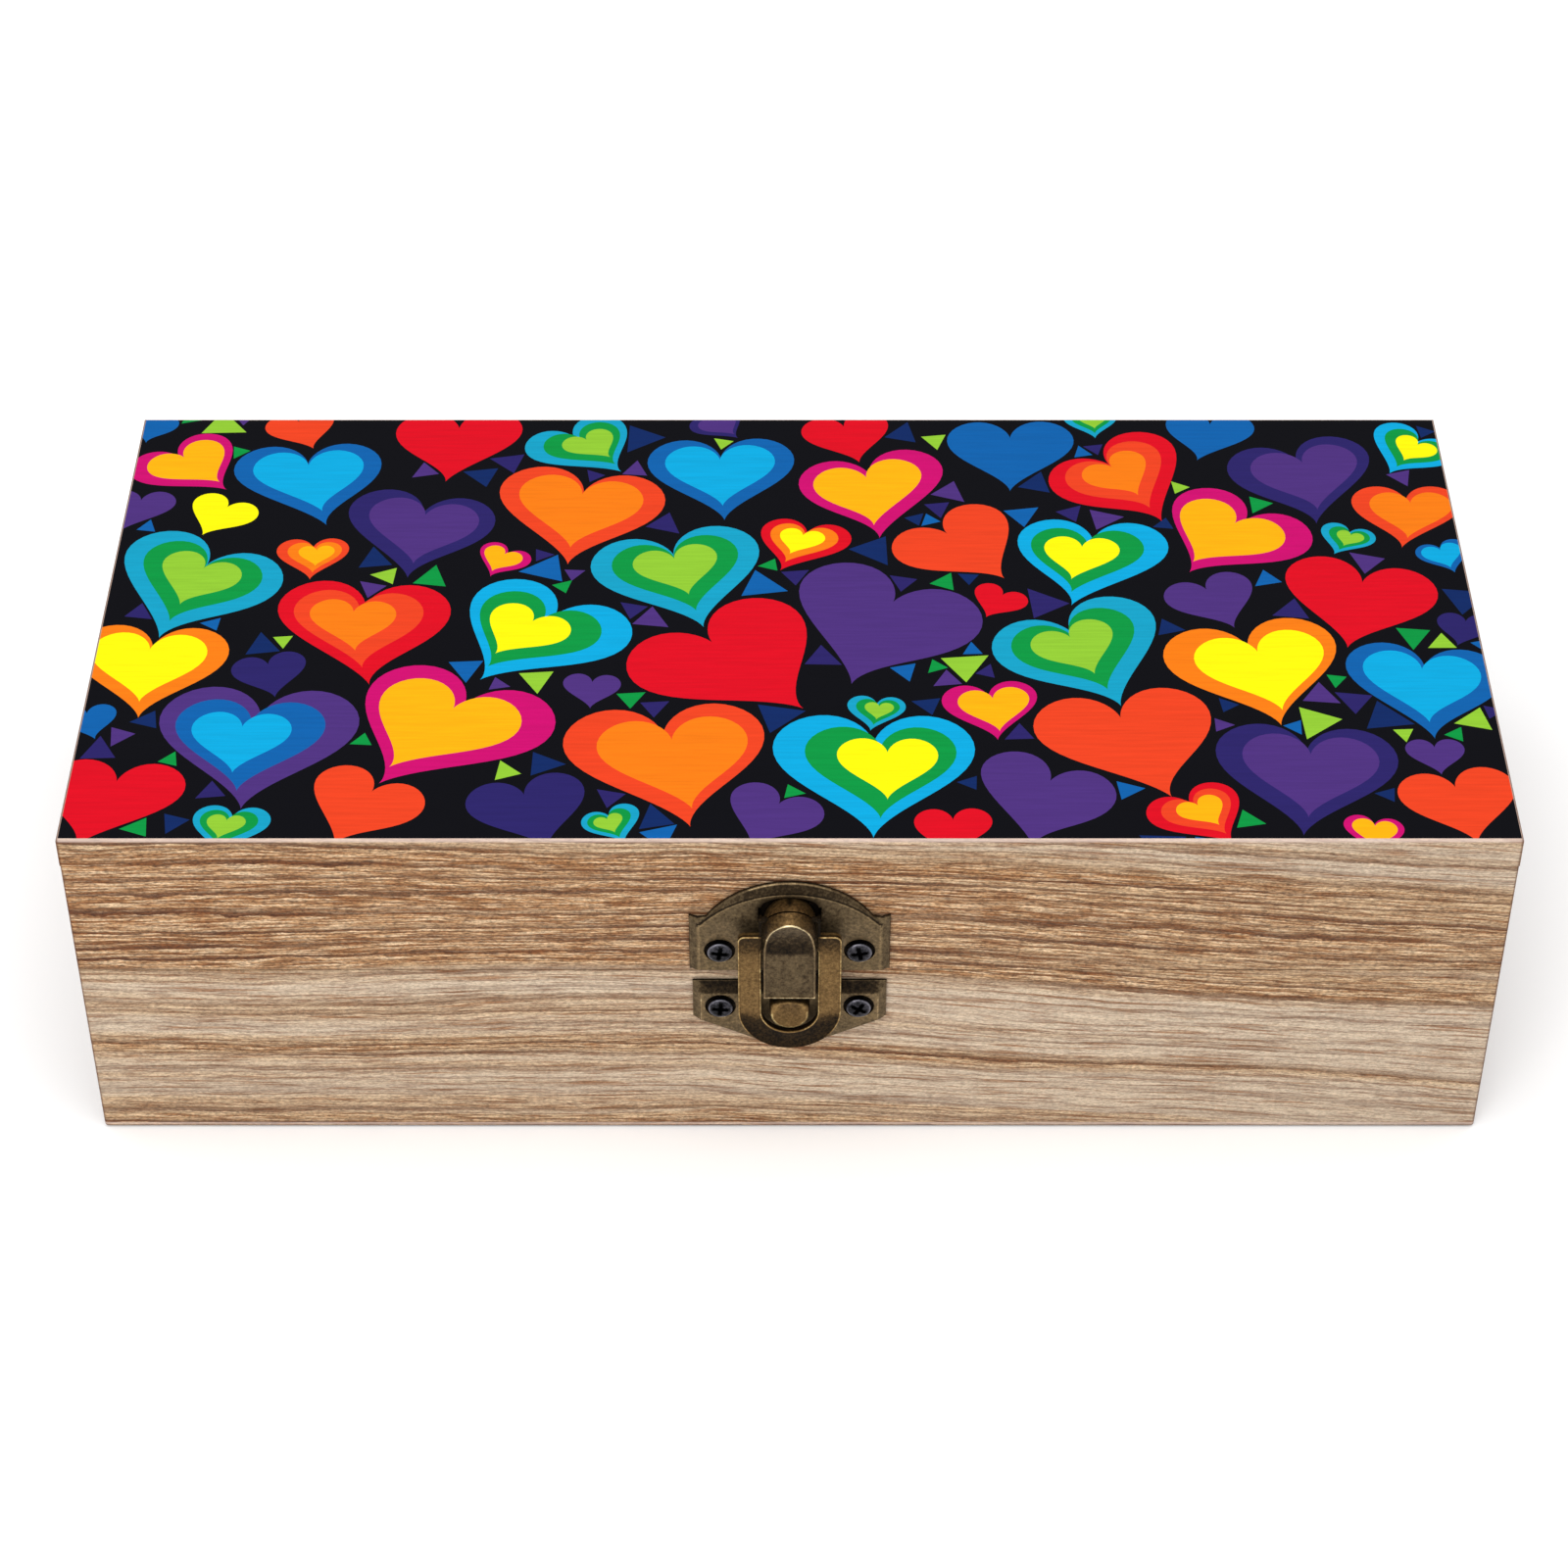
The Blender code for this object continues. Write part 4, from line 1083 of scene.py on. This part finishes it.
def head():
    """The lever's round head, from the crest back round the latch pin's axis."""
    form = Form()
    rows, linings = [], []
    for share in np.linspace(0, 1, 17):
        row, lining = [], []
        for turn in np.radians(np.linspace(6, 174, 45)):
            top = math.sin(turn)
            across = TONGUE_HALF * math.cos(turn)
            down = CREST_DOWN + CREST_RISE * (1 - top)
            out = dished(down) - 0.16
            rise, reach = FULCRUM_DOWN - down, out - FULCRUM_OUT
            first_turn, first_radius = math.degrees(math.atan2(reach, rise)), math.hypot(rise, reach)
            last_radius = HEAD_RADIUS * top + 0.5 * (1 - top)
            radius = first_radius + (last_radius - first_radius) * math.sin(share * math.pi / 2)
            down_at, out_at = from_fulcrum(first_turn + (HEAD_END - first_turn) * share, radius)
            # Painted light: the head is lighter along its top and darker at its sides and towards the back;
            # its inside is painted dark as shade.
            painted_light = (0.5 - 0.12 * share) * (0.15 + 0.85 * top**2)
            row.append(form.vert(across, down_at, out_at, painted_light))
            lining.append(form.vert(across * 0.88, down_at + 0.35 * top, out_at - 0.25, 0.0))
        rows.append(row)
        linings.append(lining)
    return form.shell(rows + linings[::-1])


def lever_web():
    """The web on the latch pin, with the eye round the loop's bar, cut from the lever's solid."""
    bm = bmesh.new()
    bm.from_mesh(NODES["latch_lever"].data)
    cut = FRONT - (TONGUE_BACK - 0.02) * MM
    everything = [*bm.verts, *bm.edges, *bm.faces]
    bmesh.ops.bisect_plane(bm, geom=everything, plane_co=(0, cut, 0), plane_no=(0, -1, 0), clear_outer=True)
    for vert in bm.verts:
        if abs(vert.co.y - cut) < 0.001 * MM:
            vert.co.y -= WEB_OVERLAP * MM
    bmesh.ops.remove_doubles(bm, verts=bm.verts, dist=TINY)
    bmesh.ops.edgenet_fill(bm, edges=[edge for edge in bm.edges if edge.is_boundary])
    layer = bm.verts.layers.float.new("patina_and_light")
    for vert in bm.verts:
        vert[layer] = WEB_PATINA
    return mesh_of(bm, "fitting")


def loop_ring():
    """The flat loop, with two necks up to the round bar that the lever carries."""
    half, shoulder, corner, centre_down, band = 7.4, 15.4, 1.0, 30.35, 3.2
    neck, neck_inside, neck_top, window_top = 4.38, 3.95, 11.85, 18.2
    window = half - band - 0.12
    centre = (0.0, centre_down)
    outline = [
        *arc((corner - half, shoulder + corner), corner, 90, 180, 8), *arc(centre, half, 180, 360, 64),
        *arc((half - corner, shoulder + corner), corner, 0, 90, 8),
        (neck_inside, shoulder), (neck_inside, window_top), (window, window_top),
        *arc(centre, window, 360, 180, 48),
        (-window, window_top), (-neck_inside, window_top), (-neck_inside, shoulder),
    ]
    edge = divided(outline, outline)

    # Painted shade: the face darkens towards the shoulders and round the bottom of the loop.
    def face(across, down):
        upper = blend(down, 15.2, 20.5, 0.14, 0.52)
        slope = down - 0.25 * (half - abs(across))
        return min(upper, blend(slope, 29.6, 31.8, 0.52, 0.07))

    # Painted highlight along the outer rim, dimmer beside the lever as painted shade and fading round the
    # bottom.
    def rim(bright):
        def patina_and_light(across, down):
            shade_beside_lever = 0.25 if abs(across) < neck_inside + 0.5 and down < window_top - 0.1 else 1.0
            return bright * shade_beside_lever * blend(down, 33.4, 36.6, 1.0, 0.2)
        return patina_and_light

    def above(on_top):
        return lambda across, down: on_top if down < shoulder + corner and abs(across) > neck else 0.0

    # The rows paint light: a bright rim, dark outer sides as painted shade, and a middle tone on the tops of
    # the shoulders.
    rows = [
        (inset(edge, 0.42), LOOP_FACE - 0.06, face),
        (inset(edge, 0.26), LOOP_FACE - 0.03, lambda a, d: face(a, d) * 0.75),
        (inset(edge, 0.17), LOOP_FACE, rim(0.7)),
        (inset(edge, 0.06), LOOP_FACE - 0.03, rim(0.8)),
        (edge, LOOP_FACE - 0.16, rim(0.45)),
        (edge, LOOP_FACE - 0.22, 0.0), (edge, LOOP_FACE - 0.42, 0.0),
        (edge, LOOP_FACE - 0.5, above(0.45)), (edge, LOOP_BACK, above(0.4)),
        (inset(edge, 0.15), LOOP_BACK, 0.35),
    ]
    form = Form().stack(rows)
    back, front, foot = LOOP_BACK + 0.05, LOOP_FACE - 0.1, shoulder + corner
    side = [(neck_top, back), (neck_top, front), (foot, front), (foot, back)]
    for inner, outer in ((neck_inside + 0.02, neck), (-neck, -neck_inside - 0.02)):
        form.slab(side, inner, outer, 0.0)
    form.bar((-BAR_HALF, BAR_DOWN, BAR_OUT), (BAR_HALF, BAR_DOWN, BAR_OUT), BAR_RADIUS, 0.0)
    return form.mesh()


# Screws

SCREW_STEPS = 48
SCREW_SHARP = 30
SCREW_SEED = 5
SCREW_HEAD, SCREW_SHANK = 1.78, 0.9
CROSS_REACH, CROSS_HALF = 1.25, 0.28
LATCH_SCREW_OUT = 1.8
HINGE_SCREW_OUT = 1.12


def screw_blank():
    """A domed countersunk screw that faces along its own Z, in metres."""
    # A painted highlight ring near the head's rim.
    profile = (
        (0.0, 0.1, 0.3), (0.6, 0.09, 0.3), (1.1, 0.05, 0.32), (1.45, -0.02, 0.4), (1.7, -0.13, 0.72),
        (SCREW_HEAD, -0.22, 0.4), (SCREW_HEAD, -0.34, 0.0), (SCREW_SHANK, -1.1, 0.0),
        (SCREW_SHANK, -4.6, 0.0), (0.0, -5.4, 0.0),
    )
    bm = bmesh.new()
    layer = bm.verts.layers.float.new("patina_and_light")
    rows = []
    for radius, height, patina_and_light in profile:
        row = []
        for turn in np.linspace(0, 2 * math.pi, SCREW_STEPS if radius else 1, endpoint=False):
            vert = bm.verts.new(Vector((radius * math.cos(turn), radius * math.sin(turn), height)) * MM)
            vert[layer] = patina_and_light
            row.append(vert)
        rows.append(row)
    skinned(bm, rows)
    return mesh_of(bm, "screw")


def driver_cross():
    """The tapered cross that a driver fits, to be cut from a screw's head."""
    bm = bmesh.new()
    for degrees, deep, clear in ((0, 0.8, 0.4), (90, 0.86, 0.45)):
        spin = Matrix.Rotation(math.radians(degrees), 4, "Z")
        for vert in bmesh.ops.create_cube(bm, size=2.0)["verts"]:
            taper = 1.0 if vert.co.z > 0 else 0.75
            height = clear if vert.co.z > 0 else -deep
            vert.co = spin @ Vector((vert.co.x * CROSS_REACH * taper, vert.co.y * CROSS_HALF, height)) * MM
    return mesh_of(bm, "cross")


def cut_screw():
    """A screw with the cross cut out of its head and its recess painted dark as shade."""
    body = linked("screw", screw_blank())
    cross = linked("cross", driver_cross())
    cut = body.modifiers.new("Cross", "BOOLEAN")
    set_up(cut, operation="DIFFERENCE", solver="EXACT", use_self=True, object=cross)
    applied(body)
    mesh = body.data
    for made in (body, cross):
        bpy.data.objects.remove(made)
    bm = bmesh.new()
    bm.from_mesh(mesh)
    bmesh.ops.dissolve_degenerate(bm, edges=bm.edges, dist=TINY)
    bm.to_mesh(mesh)
    bm.free()
    # The cross recess is painted dark as shade.
    patina_and_light = mesh.attributes["patina_and_light"].data
    for vert in mesh.vertices:
        if vert.co.z < -0.15 * MM and vert.co.xy.length < (CROSS_REACH + 0.05) * MM:
            patina_and_light[vert.index].value = 0.0
    smooth(mesh, SCREW_SHARP)
    return mesh


def screws():
    """Every screw's head and shank, each turned to its own angle."""
    blank = cut_screw()
    rng = random.Random(SCREW_SEED)
    for name in [name for name in NODES if "screw" in name]:
        low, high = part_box(name)
        middle = (low + high) / 2
        latch = name.startswith("latch")
        face = FRONT - LATCH_SCREW_OUT * MM if latch else BACK + HINGE_SCREW_OUT * MM
        facing = Vector((0.0, -1.0 if latch else 1.0, 0.0)).to_track_quat("Z", "X").to_matrix().to_4x4()
        spin = Matrix.Rotation(math.radians(rng.uniform(0, 90)), 4, "Z")
        mesh = blank.copy()
        mesh.transform(Matrix.Translation((middle.x, face, middle.z)) @ facing @ spin)
        body = next(body for body, nodes in frame["record"]["behaviour"]["bodies"].items() if name in nodes)
        piece(name + "_cross_head", mesh, body, [DARK], [name])


# The latch, the hinges and their pins in place

HINGE_SHARP = 50


def fittings():
    # A dark tab behind the loop, under the parting: painted shadow.
    lower_tab = Form().stack(tab(PARTING_DOWN + TAB_GAP, 27.1)).mesh()
    # Each piece with its body, its metal, its mesh and the node that it stands for
    pieces = (
        ("latch_upper_plate", "lid", GREY, joined(lid_plate(), lugs()), "latch_lid_plate"),
        ("latch_hood", "lid", GOLD, hood()),
        ("latch_thumb_tongue", "lever", GREY, joined(tongue(), lever_web()), "latch_lever"),
        ("latch_lever_head", "lever", GOLD, head()),
        ("latch_loop_ring", "loop", GOLD, loop_ring(), "latch_loop"),
        ("latch_lower_plate", "base", GREY, joined(catch_plate(), lower_tab), "latch_catch_plate"),
        ("latch_hook", "base", GOLD, hook()),
    )
    for name, body, metal, mesh, *replaced in pieces:
        piece(name, mesh, body, [metal], replaced)
    screws()


def softened(node, width, patina_and_light, surface, body):
    """A copy of a node's solid with its edges rounded."""
    mesh = NODES[node].data.copy()
    mesh.materials.clear()
    made = piece(node + "_rounded", mesh, body, [surface], [node])
    bevel = made.modifiers.new("Rounded edges", "BEVEL")
    set_up(bevel, width=width, segments=2, limit_method="ANGLE", angle_limit=math.radians(HINGE_SHARP))
    applied(made)
    layer = made.data.attributes.new("patina_and_light", "FLOAT", "POINT")
    for value in layer.data:
        value.value = patina_and_light
    smooth(made.data, HINGE_SHARP)


def hinges():
    for side in ("left", "right"):
        for leaf in ("base", "lid"):
            softened(f"hinge_{side}_{leaf}_leaf", 0.14 * MM, 0.5, GREY, leaf)
        softened(f"hinge_{side}_pin", 0.2 * MM, 0.6, DARK, "base")
    softened("latch_pin", 0.1 * MM, 0.5, DARK, "lid")


fittings()
hinges()


# The stage

def stage():
    half = FLOOR_SIZE / 2
    floor_mesh = board_mesh((-half, -half, -FLOOR_THICKNESS), (half, half, -FLOOR_DROP))
    floor_mesh.materials.append(Surface("pale floor").finish(Base_Color=WHITE, Roughness=0.9))
    floor = linked("floor", floor_mesh)


def lights():
    world = bpy.data.worlds.new("studio")
    world.use_nodes = True
    background = world.node_tree.nodes["Background"]
    background.inputs["Color"].default_value = WHITE
    background.inputs["Strength"].default_value = WORLD_STRENGTH
    bpy.context.scene.world = world
    for name, place, size, power in LIGHTS:
        data = set_up(bpy.data.lights.new(name, "AREA"), size=size, energy=power)
        turn = (LIT_POINT - Vector(place)).to_track_quat("-Z", "Y").to_euler()
        set_up(linked(name, data), location=place, rotation_euler=turn)


def camera():
    data = bpy.data.cameras.new("camera")
    set_up(data, lens=CAMERA_LENS, sensor_width=CAMERA_SENSOR, clip_start=0.01)
    made = linked("camera", data)
    set_up(made, location=CAMERA_PLACE, rotation_euler=(math.radians(CAMERA_TILT), 0.0, 0.0))
    bpy.context.scene.camera = made
    bpy.context.scene.view_settings.view_transform = "Standard"


stage()
lights()
camera()
